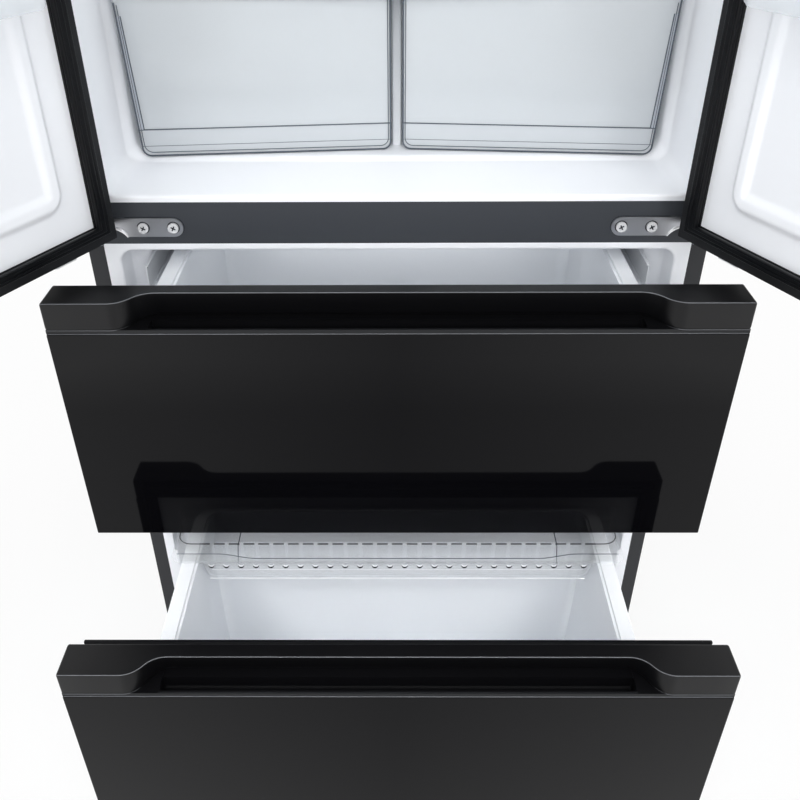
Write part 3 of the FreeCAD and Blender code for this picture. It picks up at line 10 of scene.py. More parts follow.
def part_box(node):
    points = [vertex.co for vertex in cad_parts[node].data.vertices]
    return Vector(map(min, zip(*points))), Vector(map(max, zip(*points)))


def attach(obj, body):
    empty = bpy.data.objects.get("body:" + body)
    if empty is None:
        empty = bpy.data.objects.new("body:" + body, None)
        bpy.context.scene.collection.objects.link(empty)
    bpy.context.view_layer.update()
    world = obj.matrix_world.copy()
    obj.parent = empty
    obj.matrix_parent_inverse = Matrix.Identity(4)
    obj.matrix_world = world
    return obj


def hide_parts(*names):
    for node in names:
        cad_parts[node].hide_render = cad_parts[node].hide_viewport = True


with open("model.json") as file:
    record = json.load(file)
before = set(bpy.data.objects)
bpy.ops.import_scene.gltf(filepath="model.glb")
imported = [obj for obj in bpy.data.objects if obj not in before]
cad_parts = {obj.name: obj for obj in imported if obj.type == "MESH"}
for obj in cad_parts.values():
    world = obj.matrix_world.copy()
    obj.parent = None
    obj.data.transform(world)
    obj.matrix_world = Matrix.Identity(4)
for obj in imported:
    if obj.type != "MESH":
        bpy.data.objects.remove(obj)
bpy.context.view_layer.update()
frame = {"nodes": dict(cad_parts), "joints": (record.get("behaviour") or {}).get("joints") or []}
print("frame loaded:", len(frame["nodes"]), "nodes")


class Sock:  # an output socket that can stand in a sum
    def __init__(self, paint, out):
        self.paint, self.out = paint, out

    def sum(self, kind, other, flip=False):  # a math node of this socket and another, or a number
        first, second = (other, self) if flip else (self, other)
        return self.paint.node("ShaderNodeMath", {"operation": kind}, {0: first, 1: second})

    def __add__(self, other):
        return self.sum("ADD", other)

    def __sub__(self, other):
        return self.sum("SUBTRACT", other)

    def __rsub__(self, other):
        return self.sum("SUBTRACT", other, True)

    def __mul__(self, other):
        return self.sum("MULTIPLY", other)

    __radd__, __rmul__ = __add__, __mul__


class Paint:  # one material, or the world, and the few node calls that its finish needs
    def __init__(self, name, store=bpy.data.materials):
        self.mat = store.new(name)
        self.mat.use_nodes = True
        self.tree = self.mat.node_tree
        self.tree.nodes.clear()

    def node(self, kind, settings=None, sockets=None, out=0):  # a node with its settings and inputs
        made = self.tree.nodes.new(kind)
        for key, value in (settings or {}).items():
            setattr(made, key, value)
        for key, value in (sockets or {}).items():
            if isinstance(value, Sock):
                self.tree.links.new(made.inputs[key], value.out)
            else:
                made.inputs[key].default_value = value
        return Sock(self, made.outputs[out]) if made.outputs else made

    def place(self):  # where a point is on the object
        return self.node("ShaderNodeTexCoord", out="Object")

    def noise(self, scale, detail=3.0, stretch=None):  # clouds fixed to the object
        where = self.place()
        if stretch:
            where = self.node("ShaderNodeMapping", {}, {"Vector": where, "Scale": stretch})
        return self.node("ShaderNodeTexNoise", {}, {"Vector": where, "Scale": scale, "Detail": detail})

    def blend(self, share, first, second):  # from one colour to another by a share
        return self.node("ShaderNodeMix", {"data_type": "RGBA"}, {0: share, 6: first, 7: second}, 2)

    def bump(self, height, depth):  # a fine relief of the given depth in metres
        return self.node("ShaderNodeBump", {}, {"Height": height, "Distance": depth, "Strength": 1.0})

    def part(self, value, share):  # a value times a share, held between 0 and 1
        return self.node("ShaderNodeMath", {"operation": "MULTIPLY", "use_clamp": True}, {0: value, 1: share})

    def rays(self):  # 1 on rays from the camera, from gloss and through glass
        kinds = ("Camera", "Glossy", "Transmission")
        return [self.node("ShaderNodeLightPath", out=f"Is {kind} Ray") for kind in kinds]

    def skin(self, sockets):  # the surface itself
        return self.node("ShaderNodeBsdfPrincipled", {}, sockets)

    def done(self, shader, kind="Material"):  # joins the shader to the output
        self.node(f"ShaderNodeOutput{kind}", {}, {"Surface": shader})
        return self.mat


def shade(r, g, b):  # screen colour 0-255 to the linear value that nodes take
    c = np.array([r, g, b], float) / 255
    return (*np.where(c <= 0.04045, c / 12.92, ((c + 0.055) / 1.055) ** 2.4).tolist(), 1.0)


# a finish is a colour with slow clouds, a roughness that follows them and a fine grain
def finish(name, colour, rough, cloud, cloudScale, grain=0.0, grainScale=700.0,
           gloss=0.5, metal=0.0, stretch=None):
    p = Paint(name)
    slow = p.noise(cloudScale, 4.0)
    fine = p.noise(grainScale, 2.0, stretch)
    dark = (*[c * (1 - cloud) for c in colour[:3]], 1.0)
    light = (*[min(1.0, c * (1 + cloud)) for c in colour[:3]], 1.0)
    sockets = {"Base Color": p.blend(slow * 0.7 + fine * 0.3, dark, light)}
    sockets["Roughness"] = slow * (0.25 * rough) + 0.875 * rough
    sockets.update({"Specular IOR Level": gloss, "Metallic": metal})
    if grain:
        sockets["Normal"] = p.bump(fine, grain)
    return p.done(p.skin(sockets))


# see-through plastic, denser where it is seen edge on
def clearFinish(name, colour, body, edge, most, rough=0.06):
    p = Paint(name)
    slow = p.noise(7.0)
    tone = p.blend(slow, (*[c * 0.97 for c in colour[:3]], 1.0), colour)
    rim = p.node("ShaderNodeLayerWeight", {}, {"Blend": edge}, 1)
    alpha = rim * (most - body) + body
    return p.done(p.skin({"Base Color": tone, "Roughness": slow * 0.05 + rough, "Alpha": alpha}))


# screen colour, roughness, clouds and their scale, grain and its scale, gloss, metal, stretch of the grain
solidFinishes = {
    "frontGlass": ((6, 6, 8), 0.045, 0.1, 3.0, 0.0, 700.0, 0.14),
    "handlePaint": ((10, 10, 12), 0.36, 0.06, 9.0, 0.0001, 1500.0, 0.25),
    # painted shade, for the trough and the sheets under the trim's recess
    "recessPaint": ((10, 10, 12), 0.4, 0.06, 9.0, 0.0001, 1500.0, 0.15),
    # painted highlight, for the thin lines on the trim's edges
    "cutEdge": ((96, 98, 102), 0.3, 0.05, 12.0, 0.00005, 1500.0),
    "casePaint": ((42, 43, 46), 0.45, 0.06, 6.0, 0.00016, 1100.0, 0.3),
    "beamPaint": ((58, 61, 66), 0.42, 0.05, 6.0, 0.00016, 1100.0, 0.3),
    "frontCore": ((28, 29, 31), 0.42, 0.05, 6.0, 0.00014, 1100.0, 0.2),
    "linerWhite": ((243, 245, 249), 0.32, 0.012, 4.0, 0.00005, 900.0),
    "boxWhite": ((246, 249, 253), 0.3, 0.012, 4.0, 0.00005, 900.0),
    "runnerWhite": ((226, 229, 233), 0.35, 0.03, 8.0, 0.00004, 700.0),
    "nylon": ((232, 233, 235), 0.4, 0.02, 8.0, 0.00004, 900.0),
    "gasketRubber": ((8, 9, 12), 0.3, 0.08, 14.0, 0.00005, 700.0, 0.14),
    # lines painted on: dark and grey ones of painted shade, white ones of painted highlight
    "darkEdge": ((34, 37, 42), 0.2, 0.1, 20.0),
    "smokyEdge": ((76, 83, 92), 0.2, 0.1, 20.0),
    "whiteEdge": ((250, 251, 253), 0.2, 0.02, 20.0),
    "darkPlastic": ((33, 34, 37), 0.5, 0.06, 8.0, 0.00014, 1200.0),
    "fanPlastic": ((52, 54, 58), 0.45, 0.05, 20.0, 0.00005, 900.0),
    "blackShell": ((20, 20, 22), 0.28, 0.08, 9.0, 0.00008, 500.0),
    "backSheet": ((120, 124, 130), 0.5, 0.05, 7.0, 0.00012, 900.0),
    "foam": ((206, 198, 170), 0.9, 0.08, 30.0, 0.0006, 260.0),
    "screwSteel": ((244, 245, 247), 0.2, 0.05, 90.0, 0.00003, 500.0, 0.5, 0.4),
    "zinc": ((206, 208, 213), 0.3, 0.06, 60.0, 0.00004, 500.0, 0.5, 1.0),
    "finMetal": ((196, 200, 204), 0.32, 0.05, 30.0, 0.00003, 600.0, 0.5, 1.0, (1.0, 1.0, 0.1)),
}
# screen colour, density face on, how soon it grows towards the edge, density edge on, roughness
clearFinishes = {
    "clearPlastic": ((244, 249, 253), 0.32, 0.12, 0.7),
    "trayPlastic": ((244, 248, 252), 0.09, 0.14, 0.45),
    "combPlastic": ((242, 246, 251), 0.035, 0.07, 0.15),
    # a grey tint as painted shade, for the band on the crisper's front
    "bandPlastic": ((196, 202, 212), 0.55, 0.12, 0.8),
    "shelfGlass": ((214, 232, 229), 0.22, 0.2, 0.9, 0.03),
}
paints = {}
for make, rows in ((finish, solidFinishes), (clearFinish, clearFinishes)):
    paints.update({name: make(name, shade(*row[0]), *row[1:]) for name, row in rows.items()})

slotPaint = {
    "dark_paint": "casePaint", "back_sheet": "backSheet", "zinc": "zinc", "foam": "foam",
    "front_core": "frontCore", "front_glass": "frontGlass", "handle_trim": "handlePaint",
    "white_liner": "linerWhite", "gasket": "gasketRubber", "clear_plastic": "clearPlastic",
    "shelf_glass": "shelfGlass", "dark_plastic": "darkPlastic", "fin_metal": "finMetal",
    "black_shell": "blackShell", "fan_plastic": "fanPlastic",
}
nodePaint = {  # nodes whose finish isn't their slot's
    "mid_beam": "beamPaint", "crisper_frame": "linerWhite", "shelf_trims": "linerWhite",
    "hinge_screws": "screwSteel",
}
for name, node in frame["nodes"].items():
    slot = node.data.materials[0].name.split(".")[0]
    node.data.materials.clear()
    node.data.materials.append(paints[nodePaint.get(name, slotPaint[slot])])
print("finishes:", len(paints))


# quads between neighbours of a (rows, columns, 3) array, which may close on itself either way
def grid(points, closeU=False, closeV=False, caps=False):
    rows, columns = points.shape[:2]
    index = np.arange(rows * columns).reshape(rows, columns)
    ends = [index[0].tolist(), index[-1].tolist()]
    if closeU:
        index = np.vstack([index, index[:1]])
    if closeV:
        index = np.hstack([index, index[:, :1]])
    quads = np.stack([index[:-1, :-1], index[1:, :-1], index[1:, 1:], index[:-1, 1:]], -1)
    return points.reshape(-1, 3), quads.reshape(-1, 4).tolist() + (ends if caps else [])


# joins the shapes of one piece, closes their seams, sets the piece on its body and hides the parts it stands
# in for
def piece(name, shapes, body, finishes, stands=(), crease=38.0):
    corners, faces, which, start = [], [], [], 0
    for number, (points, polygons) in enumerate(shapes):
        corners.append(np.asarray(points, float))
        faces += [[i + start for i in f] for f in polygons]
        which += [min(number, len(finishes) - 1)] * len(polygons)
        start += len(points)
    mesh = bpy.data.meshes.new(name)
    mesh.from_pydata(np.vstack(corners), [], faces)
    for paint in finishes:
        mesh.materials.append(paints[paint])
    mesh.polygons.foreach_set("material_index", np.array(which, np.int32))
    work = bmesh.new()
    work.from_mesh(mesh)
    bmesh.ops.remove_doubles(work, verts=work.verts, dist=1e-6)
    bmesh.ops.dissolve_degenerate(work, edges=work.edges, dist=1e-7)
    bmesh.ops.recalc_face_normals(work, faces=work.faces)
    work.to_mesh(mesh)
    work.free()
    mesh.polygons.foreach_set("use_smooth", np.ones(len(mesh.polygons), bool))
    mesh.set_sharp_from_angle(angle=math.radians(crease))
    obj = bpy.data.objects.new(name, mesh)
    bpy.context.scene.collection.objects.link(obj)
    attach(obj, body)
    if stands:
        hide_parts(*stands)


def xyz(x, y, z):  # points from three coordinates, each an array or one number
    return np.stack(np.broadcast_arrays(x, y, z), -1)


def rect(x0, x1, z0, z1):  # the four corners of a rectangle, counted the way that drawIn needs
    return np.array([[x0, z0], [x1, z0], [x1, z1], [x0, z1]], float)


# a quarter circle: how far each point has gone over, and what it has left to go down
def quarter(radius, steps=4):
    t = np.linspace(0, math.pi / 2, steps + 1)
    return np.stack([radius * (1 - np.cos(t)), radius * (1 - np.sin(t))], -1)


def drawIn(corners, by):  # moves each side of a loop inwards; the new corners are where moved sides meet
    side = np.roll(corners, -1, 0) - corners
    side /= np.linalg.norm(side, axis=1)[:, None]
    inward = np.stack([-side[:, 1], side[:, 0]], -1)
    reach = (corners * inward).sum(1) + by
    before, reachBefore = np.roll(inward, 1, 0), np.roll(reach, 1)
    area = before[:, 0] * inward[:, 1] - before[:, 1] * inward[:, 0]
    x = (reachBefore * inward[:, 1] - reach * before[:, 1]) / area
    y = (reach * before[:, 0] - reachBefore * inward[:, 0]) / area
    return np.stack([x, y], -1)


def roundLoop(corners, radius, steps=6):  # each corner becomes an arc that touches both its sides
    c = np.asarray(corners, float)
    a, b = np.roll(c, 1, 0) - c, np.roll(c, -1, 0) - c
    a /= np.linalg.norm(a, axis=1)[:, None]
    b /= np.linalg.norm(b, axis=1)[:, None]
    half = np.arccos(np.clip((a * b).sum(1), -1, 1)) / 2
    r = np.broadcast_to(np.asarray(radius, float), len(c))
    middle = (a + b) / np.linalg.norm(a + b, axis=1)[:, None]
    centre = c + middle * (r / np.sin(half))[:, None]
    first = c + a * (r / np.tan(half))[:, None] - centre
    turn = (math.pi - 2 * half) * np.sign(b[:, 0] * a[:, 1] - b[:, 1] * a[:, 0])
    angle = turn[:, None] * np.linspace(0, 1, steps + 1)
    x = centre[:, :1] + first[:, :1] * np.cos(angle) - first[:, 1:] * np.sin(angle)
    y = centre[:, 1:] + first[:, :1] * np.sin(angle) + first[:, 1:] * np.cos(angle)
    arcs = np.stack([x, y], -1)
    lead = 0.12 * r[:, None]  # one point a little before and after each arc keeps the straight sides flat
    before, after = (arcs[:, 0] + a * lead)[:, None], (arcs[:, -1] + b * lead)[:, None]
    return np.concatenate([before, arcs, after], 1).reshape(-1, 2)


def lift(loop, at, axis):  # a flat loop stood at one place along x, y or z
    return np.insert(np.asarray(loop, float), axis, at, axis=1)


# a skin over loops of equal length; a flat inner ring keeps each end face flat
def skinOver(rings):
    first, last = [r.mean(0) + (r - r.mean(0)) * 0.997 for r in (rings[0], rings[-1])]
    return grid(np.stack([first, *rings, last]), closeV=True, caps=True)


# a skin over rounded loops, each given by its corners, their radius and its place along the axis
def stacked(loops, steps=6, axis=2):
    return skinOver([lift(roundLoop(corners, radius, steps), at, axis) for corners, radius, at in loops])


def drawnOut(section, y0, y1):  # a flat section carried straight along y
    return skinOver([lift(section, at, 1) for at in np.linspace(y0, y1, 6)])


# a round bar along a line of points that bends within the plane of the given normal
def wire(points, radius, normal, closed=False, sides=6):
    p = np.asarray(points, float)
    along = np.roll(p, -1, 0) - np.roll(p, 1, 0) if closed else np.gradient(p, axis=0)
    along /= np.linalg.norm(along, axis=1)[:, None]
    up = np.broadcast_to(np.asarray(normal, float) / np.linalg.norm(normal), p.shape)
    side = np.cross(along, up)
    side /= np.linalg.norm(side, axis=1)[:, None]
    a = np.arange(sides) * 2 * math.pi / sides
    ring = side[:, None] * np.cos(a)[:, None] + np.cross(side, along)[:, None] * np.sin(a)[:, None]
    size = np.broadcast_to(np.asarray(radius, float), len(p))[:, None, None]
    return grid(p[:, None] + size * ring, closeU=closed, closeV=True, caps=not closed)


def mirrorX(shape):  # the same shape for the other side
    return np.asarray(shape[0]) * np.array([-1, 1, 1]), [f[::-1] for f in shape[1]]


def bothSides(shapes):  # shapes of one side, then their mirror images
    return [*shapes, *map(mirrorX, shapes)]


# a block of rounded corners whose two end faces run into the sides through quarter circles
def softBlock(lo, hi, corner, edge, axis=2, steps=4):
    u, v = [k for k in range(3) if k != axis]
    base = rect(lo[u], hi[u], lo[v], hi[v])
    bend = quarter(edge, steps)
    stations = [(left, lo[axis] + over) for over, left in bend]
    stations += [(left, hi[axis] - over) for over, left in bend[::-1]]
    return stacked([(drawIn(base, by), max(corner - by, 2e-4), at) for by, at in stations], steps, axis)


def boxOf(node):  # the low and high corner of a node's solid
    return [np.array(corner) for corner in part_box(node)]


swings = {j["child"]: j for j in frame["joints"] if j["child"] in ("left_door", "right_door")}


# turns points about a door's hinge line, from shut to how it stands at rest or back
def swing(points, door, shut=False):
    joint = swings[door]
    angle = -math.radians(joint["range_deg"][0]) * joint["axis"][2] * (-1 if shut else 1)
    c, s = math.cos(angle), math.sin(angle)
    x, y, z = (np.asarray(points, float) - np.array(joint["pos_m"])).T
    return xyz(x * c - y * s, x * s + y * c, z) + np.array(joint["pos_m"])


def hung(shapes, door):  # shapes made on a shut door, turned with it
    return [(swing(points, door), faces) for points, faces in shapes]


def shutBox(node, door):  # the low and high corner of a node on a door, measured with the door shut
    p = swing(np.array([v.co[:] for v in frame["nodes"][node].data.vertices]), door, True)
    return p.min(0), p.max(0)


def ease(t):  # 3t^2 - 2t^3, a soft step from 0 to 1
    t = np.clip(t, 0, 1)
    return t * t * (3 - 2 * t)


def depthIn(x, z, box, radius):  # distance inside the outline of a rounded rectangle, negative outside
    qx = np.abs(x - (box[0] + box[1]) / 2) - (box[1] - box[0]) / 2 + radius
    qz = np.abs(z - (box[2] + box[3]) / 2) - (box[3] - box[2]) / 2 + radius
    return radius - np.hypot(np.maximum(qx, 0), np.maximum(qz, 0)) - np.minimum(np.maximum(qx, qz), 0)


# sample lines, close together in the bands and far apart elsewhere
def fineNear(lo, hi, bands, fine, coarse):
    marks = [np.linspace(a, b, max(2, int((b - a) / fine) + 1)) for a, b in bands]
    return np.unique(np.round(np.concatenate([np.arange(lo, hi, coarse), [hi], *marks]), 6))


# a moulded sheet: a height above a flat back for each (x, z), with a skirt down to the back all round;
# its sample lines are close together from a little outside the field's outline to a little inside it
def moulded(lo, hi, box, near, coarse, height, back):
    out, into, fine = near
    bands = [[(a - out, a + into), (b - into, b + out)] for a, b in (box[:2], box[2:])]
    xs, zs = [fineNear(lo[k], hi[k], bands[k // 2], fine, coarse[k // 2]) for k in (0, 2)]
    x, z = np.meshgrid(xs, zs, indexing="ij")
    p = np.pad(xyz(x, back + height(x, z), z), ((1, 1), (1, 1), (0, 0)), mode="edge")
    p[[0, -1], :, 1] = back
    p[:, [0, -1], 1] = back
    points, quads = grid(p)
    index = np.arange(len(points)).reshape(p.shape[:2])
    border = np.concatenate([index[0], index[1:, -1], index[-1, -2::-1], index[-2:0:-1, 0]]).tolist()
    return points, quads + [border]


def fieldOf(lo, hi, sideIn, endIn):  # a field's sides, foot and top, set in from a box
    return lo[0] + sideIn, hi[0] - sideIn, lo[2] + endIn, hi[2] - endIn


def soften(profile, times):  # cuts the corners of a closed line, each time at a quarter of its sides
    p = np.asarray(profile, float)
    for _ in range(times):
        ahead = np.roll(p, -1, 0)
        p = np.stack([0.75 * p + 0.25 * ahead, 0.25 * p + 0.75 * ahead], 1).reshape(-1, p.shape[1])
    return p


sealRibs = {  # across the band from its outer side (0-1), and out from the liner (0-1)
    "section": [(0.04, 0), (0, 0.1), (0, 0.26), (0.12, 0.38), (0.08, 0.5), (0, 0.6), (0, 0.86),
                (0.05, 0.98), (0.2, 1.0), (0.3, 1.0), (0.34, 0.95), (0.38, 0.95), (0.42, 1.0),
                (0.68, 1.0), (0.72, 0.96), (0.76, 0.96), (0.8, 1.0), (0.93, 0.98), (1, 0.88),
                (1, 0.62), (0.9, 0.5), (0.88, 0.38), (1, 0.26), (1, 0.08), (0.95, 0)],
    "mitre": 0.0006, "crease": 50, "drawerBand": 0.018, "drawerDrop": 0.004,
    "doorBand": (0.012, 0.0185, 0.0185, 0.0185),
}


def seal(lo, hi, band):  # the section carried round a rectangle with mitred corners, on the side towards +y
    base = rect(lo[0], hi[0], lo[2], hi[2])
    section = [(b * band, lo[1] + t * (hi[1] - lo[1])) for b, t in soften(sealRibs["section"], 2)]
    rings = [lift(roundLoop(drawIn(base, by), sealRibs["mitre"], 2), at, 1) for by, at in section]
    return grid(np.stack(rings), closeU=True, closeV=True)


glassEdge = {"corner": 0.0015, "edge": 0.0009}
smallBlock = {"corner": 0.003, "edge": 0.001}
drawerTrim = {
    "height": 0.036, "setback": 0.028, "curveStart": 0.3405, "curveEnd": 0.2865, "undercut": 0.45,
    "edge": 0.002, "endEdge": 0.003, "ledge": 0.0055, "cutLine": 0.0006, "cutFoot": 0.314,
    "channelHalf": 0.2965, "channelDeep": 0.019, "channelRound": 0.003, "wall": 0.002, "glassThick": 0.004,
    "channelBend": 0.004, "floorLap": 0.002, "floorNear": 0.0016, "floorFar": 0.0015, "floorEnd": 0.003,
    "floorSheet": (0.0002, 0.0005), "seam": 0.0001, "lineIn": 0.002, "lineUp": (0.0002, 0.0003),
    "runOut": 0.02, "runSize": (0.1, 0.6),
    "fine": ((-0.345, -0.282), (0.282, 0.345)),  # where the recess curves
    "steps": (0.0015, 0.04), "lineSteps": (0.002, 0.04),  # between sample lines, there and elsewhere
}


def handSetback(x):  # how far the hand recess goes back along the width: two equal arcs that join half way
    run, rise = drawerTrim["curveStart"] - drawerTrim["curveEnd"], drawerTrim["setback"]
    s = np.clip(drawerTrim["curveStart"] - np.abs(x), 0, run)
    r = (run**2 + rise**2) / (4 * rise)
    first = r - np.sqrt(r * r - np.minimum(s, run / 2) ** 2)
    last = rise - r + np.sqrt(r * r - np.minimum(run - s, run / 2) ** 2)
    return np.where(s < run / 2, first, last)


def trimBar(lo, hi):  # a rounded section carried along x, its front pushed back by the recess
    d = drawerTrim
    base = rect(lo[1], hi[1], hi[2] - d["height"], hi[2])
    half, end = hi[0], d["endEdge"]
    over, left = quarter(end).T
    inner = fineNear(-half + end, half - end, d["fine"], *d["steps"])[1:-1]
    xs = np.concatenate([left[::-1] - half, inner, half - left])
    ins = np.concatenate([over[::-1], 0 * inner, over])
    loops = np.stack([roundLoop(drawIn(base, i), d["edge"] * 0.999, 4) for i in ins])
    y, z = loops[..., 0], loops[..., 1]
    lean = 1 + d["undercut"] * (hi[2] - z) / d["height"]  # the recess leans back towards its foot
    front = y < (lo[1] + hi[1]) / 2
    return grid(xyz(xs[:, None], y + front * handSetback(xs)[:, None] * lean, z), closeV=True, caps=True)


def trimHighlights(lo, hi):  # thin bright lines of painted highlight along the front edges of the trim and of the ledge under it
    d = drawerTrim
    thick, foot, up, start = d["cutLine"], hi[2] - d["height"], (0, 0, 1), d["cutFoot"]
    ledgeUp, footUp = d["lineUp"]
    x = fineNear(-hi[0] + d["lineIn"], hi[0] - d["lineIn"], d["fine"], *d["lineSteps"])
    lines = [wire(xyz(x, lo[1] + handSetback(x) + thick, hi[2] - thick), thick, up)]
    lines.append(wire(xyz(x, lo[1] + 2 * thick, foot - d["ledge"] + ledgeUp), thick, up))
    for end in (x[x < -start], x[x > start]):  # along the recess's foot the line runs out
        size = thick * np.clip((np.abs(end) - start + d["lineIn"]) / d["runOut"], *d["runSize"])
        lines.append(wire(xyz(end, lo[1] + handSetback(end) * (1 + d["undercut"]), foot + footUp), size, up))
    return lines


def recessShadeSheet(lo, hi, ends):  # a thin sheet of painted shade under the leaning wall and under the curve at each end
    d = drawerTrim
    x = np.linspace(*ends, 16)
    near = lo[1] + np.where(np.abs(x) <= d["channelHalf"], d["setback"] - d["floorLap"], d["floorNear"])
    far = lo[1] + d["floorFar"] + handSetback(x) * (1 + d["undercut"])
    z = hi[2] - d["height"] + np.repeat(d["floorSheet"], 2)
    return grid(xyz(x[:, None], np.stack([near, far, far, near], 1), z), closeV=True, caps=True)


def fingerChannel(lo, hi):  # a trough below the recess, open at the top
    d = drawerTrim
    top, w, b = hi[2] - d["height"], d["wall"], d["channelBend"]
    low = top - d["channelDeep"]
    inside = rect(-d["channelHalf"], d["channelHalf"], lo[1] + d["glassThick"] + w, lo[1] + d["setback"])
    steps = [(-w, low - w), (-w, top), (0, top), (0, low + b), (0.3 * b, low + 0.3 * b), (b, low)]
    return stacked([(drawIn(inside, by), d["channelRound"], at) for by, at in steps], 4)


channel, curve = drawerTrim["channelHalf"], drawerTrim["curveStart"] - drawerTrim["floorEnd"]
side = channel + drawerTrim["seam"]
recessEnds = [(-curve, -side), (-channel, channel), (side, curve)]
for body in ("upper_drawer", "lower_drawer"):
    glass, handle, gasket = f"{body}_glass", f"{body}_handle", f"{body}_gasket"
    front = softBlock(*boxOf(glass), **glassEdge, axis=1)
    piece(f"{body}.frontGlass", [front], body, ["frontGlass"], [glass])
    lo, hi = boxOf(handle)
    shapes = [trimBar(lo, hi), fingerChannel(lo, hi), *[recessShadeSheet(lo, hi, ends) for ends in recessEnds]]
    # the trough and the sheets under the recess take painted shade
    piece(f"{body}.handle", shapes, body, ["handlePaint", "recessPaint"], [handle])
    # thin lines of painted highlight on the trim's edges
    piece(f"{body}.cutEdges", trimHighlights(lo, hi), body, ["cutEdge"])
    lo, hi = boxOf(gasket)
    hi[2] -= sealRibs["drawerDrop"]
    ring = seal(lo, hi, sealRibs["drawerBand"])
    piece(f"{body}.seal", [ring], body, ["gasketRubber"], [gasket], sealRibs["crease"])
print("drawer fronts made")


drawerLiner = {
    "sheet": 0.003, "sideIn": 0.029, "endIn": 0.027, "bevel": 0.014, "corner": 0.016,
    "near": (0.004, 0.02, 0.0015), "coarse": (0.05, 0.05),
}


def drawerPlug(lo, hi):  # a flat sheet with a raised field whose border slopes up to it
    d = drawerLiner
    box = fieldOf(lo, hi, d["sideIn"], d["endIn"])
    full = hi[1] - lo[1]

    def height(x, z):  # the sheet, then an eased slope to the full thickness
        return d["sheet"] + (full - d["sheet"]) * ease(depthIn(x, z, box, d["corner"]) / d["bevel"])

    return moulded(lo, hi, box, d["near"], d["coarse"], height, lo[1])


drawerTub = {
    "wall": 0.0025, "rimOut": 0.006, "topIn": 0.0235, "floorIn": 0.031, "frontIn": 0.003, "endIn": 0.012,
    "endLean": 0.008, "neck": 0.004, "lip": 0.007, "rimEdge": 0.0025, "innerEdge": 0.001, "innerOut": 0.006,
    "floorRound": 0.012, "shelfEdge": 0.003, "footCorners": (0.012, 0.014), "corner": 0.02,
    "neckCorner": 0.024, "rimCorner": 0.026, "shelfStart": 0.0005,
    "shelfIn": (0, 0.001, 0.004, 0.001), "shelfLean": (0.002, 0.003, 0.004, 0.003),
    "inside": {"upper": None, "lower": (0.332, 0.1045)},  # a shelf's height, and how far it comes forward
}


# a tub of rings: up the outside, over the rolled rim and down the inside,
# which may step forward at the back under a shelf
def drawerBox(lo, hi, inside):
    d = drawerTub
    rim = rect(lo[0] - d["rimOut"], hi[0] + d["rimOut"], lo[1], hi[1])
    top = np.array([d["frontIn"], d["topIn"], d["endIn"], d["topIn"]])
    foot = np.array([d["frontIn"] + d["endLean"], d["floorIn"], d["endIn"] + d["endLean"], d["floorIn"]])
    w, r, n, c = [d[key] for key in ("wall", "floorRound", "neck", "corner")]
    neck, roll, (sole, heel) = d["neckCorner"], d["rimCorner"], d["footCorners"]
    steps = [(foot + n, sole, lo[2]), (foot, heel, lo[2] + n), (top, c, hi[2] - n), (w, neck, hi[2] - n)]
    steps += [(w, neck, hi[2] - d["lip"]), (0, roll, hi[2] - d["lip"])]
    steps += [(over, roll, hi[2] - left) for over, left in quarter(d["rimEdge"])]
    lean = top - np.array([0, d["innerOut"], 0, d["innerOut"]])
    steps += [(lean + w - left, c, hi[2] - over) for over, left in quarter(d["innerEdge"])]
    low = lo[2] + w
    if inside:
        (shelf, back), e = inside, d["shelfEdge"]
        setIn = np.array(d["shelfIn"])
        steps += [(lean + w + d["shelfStart"], c, shelf + e), (lean + w + setIn, c, shelf)]
        lean = lean + np.array([*setIn[:2], back, setIn[3]])
        foot = lean + np.array(d["shelfLean"])
        steps += [(lean + w - np.array([0, 0, e, 0]), c, shelf), (lean + w, c, shelf - e)]
    run = (hi[2] - d["rimEdge"]) - (low + r)
    steps += [(foot + w - (foot - lean) * (r / run), c, low + r)]
    steps += [(foot + w + over, c, low + left) for over, left in quarter(r)[1:]]
    return stacked([(drawIn(rim, by), corner, at) for by, corner, at in steps])


slideRail = {
    "at": 0.3005, "web": 0.003, "foot": 0.022, "toe": 0.006, "head": 0.008, "sheet": 0.0018,
    "runnerLip": 0.0035, "runnerSheet": 0.0012, "middleOut": 0.3445, "railOut": 0.3478, "railOver": 0.002,
    "lowerShort": 0.02,
}


def slide(lo, hi):  # a thin folded section carried along y: a head under the rim, a web and a foot
    x, w, f, toe, head, t = [slideRail[key] for key in ("at", "web", "foot", "toe", "head", "sheet")]
    z0, z1 = lo[2], hi[2]
    section = [(x, z0), (x + f, z0), (x + f, z0 + toe), (x + f - t, z0 + toe), (x + f - t, z0 + t)]
    section += [(x + w, z0 + t), (x + w, z1 - t), (x + head, z1 - t), (x + head, z1), (x, z1)]
    return bothSides([drawnOut(section, lo[1], hi[1])])


def runner(y0, y1, z0, z1, out):  # a shallow channel carried along y, open towards the drawer
    t, lip = slideRail["runnerSheet"], slideRail["runnerLip"]
    section = [(out, z0), (out, z1), (out - lip, z1), (out - lip, z1 - t), (out - t, z1 - t)]
    section += [(out - t, z0 + t), (out - lip, z0 + t), (out - lip, z0)]
    return bothSides([drawnOut(section, y0, y1)])


rails = []
railLo, railHi = boxOf("runner_rails")
for part, short in (("upper", 0), ("lower", slideRail["lowerShort"])):
    middles, over = f"{part}_runner_middles", slideRail["railOver"]
    lo, hi = boxOf(middles)
    shapes = runner(lo[1], hi[1], lo[2], hi[2], slideRail["middleOut"])
    piece(f"{part}_runners.middles", shapes, f"{part}_runners", ["runnerWhite"], [middles])
    rails += runner(railLo[1], railHi[1] - short, lo[2] - over, hi[2] + over, slideRail["railOut"])
piece("cabinet.rails", rails, "cabinet", ["runnerWhite"], ["runner_rails"])

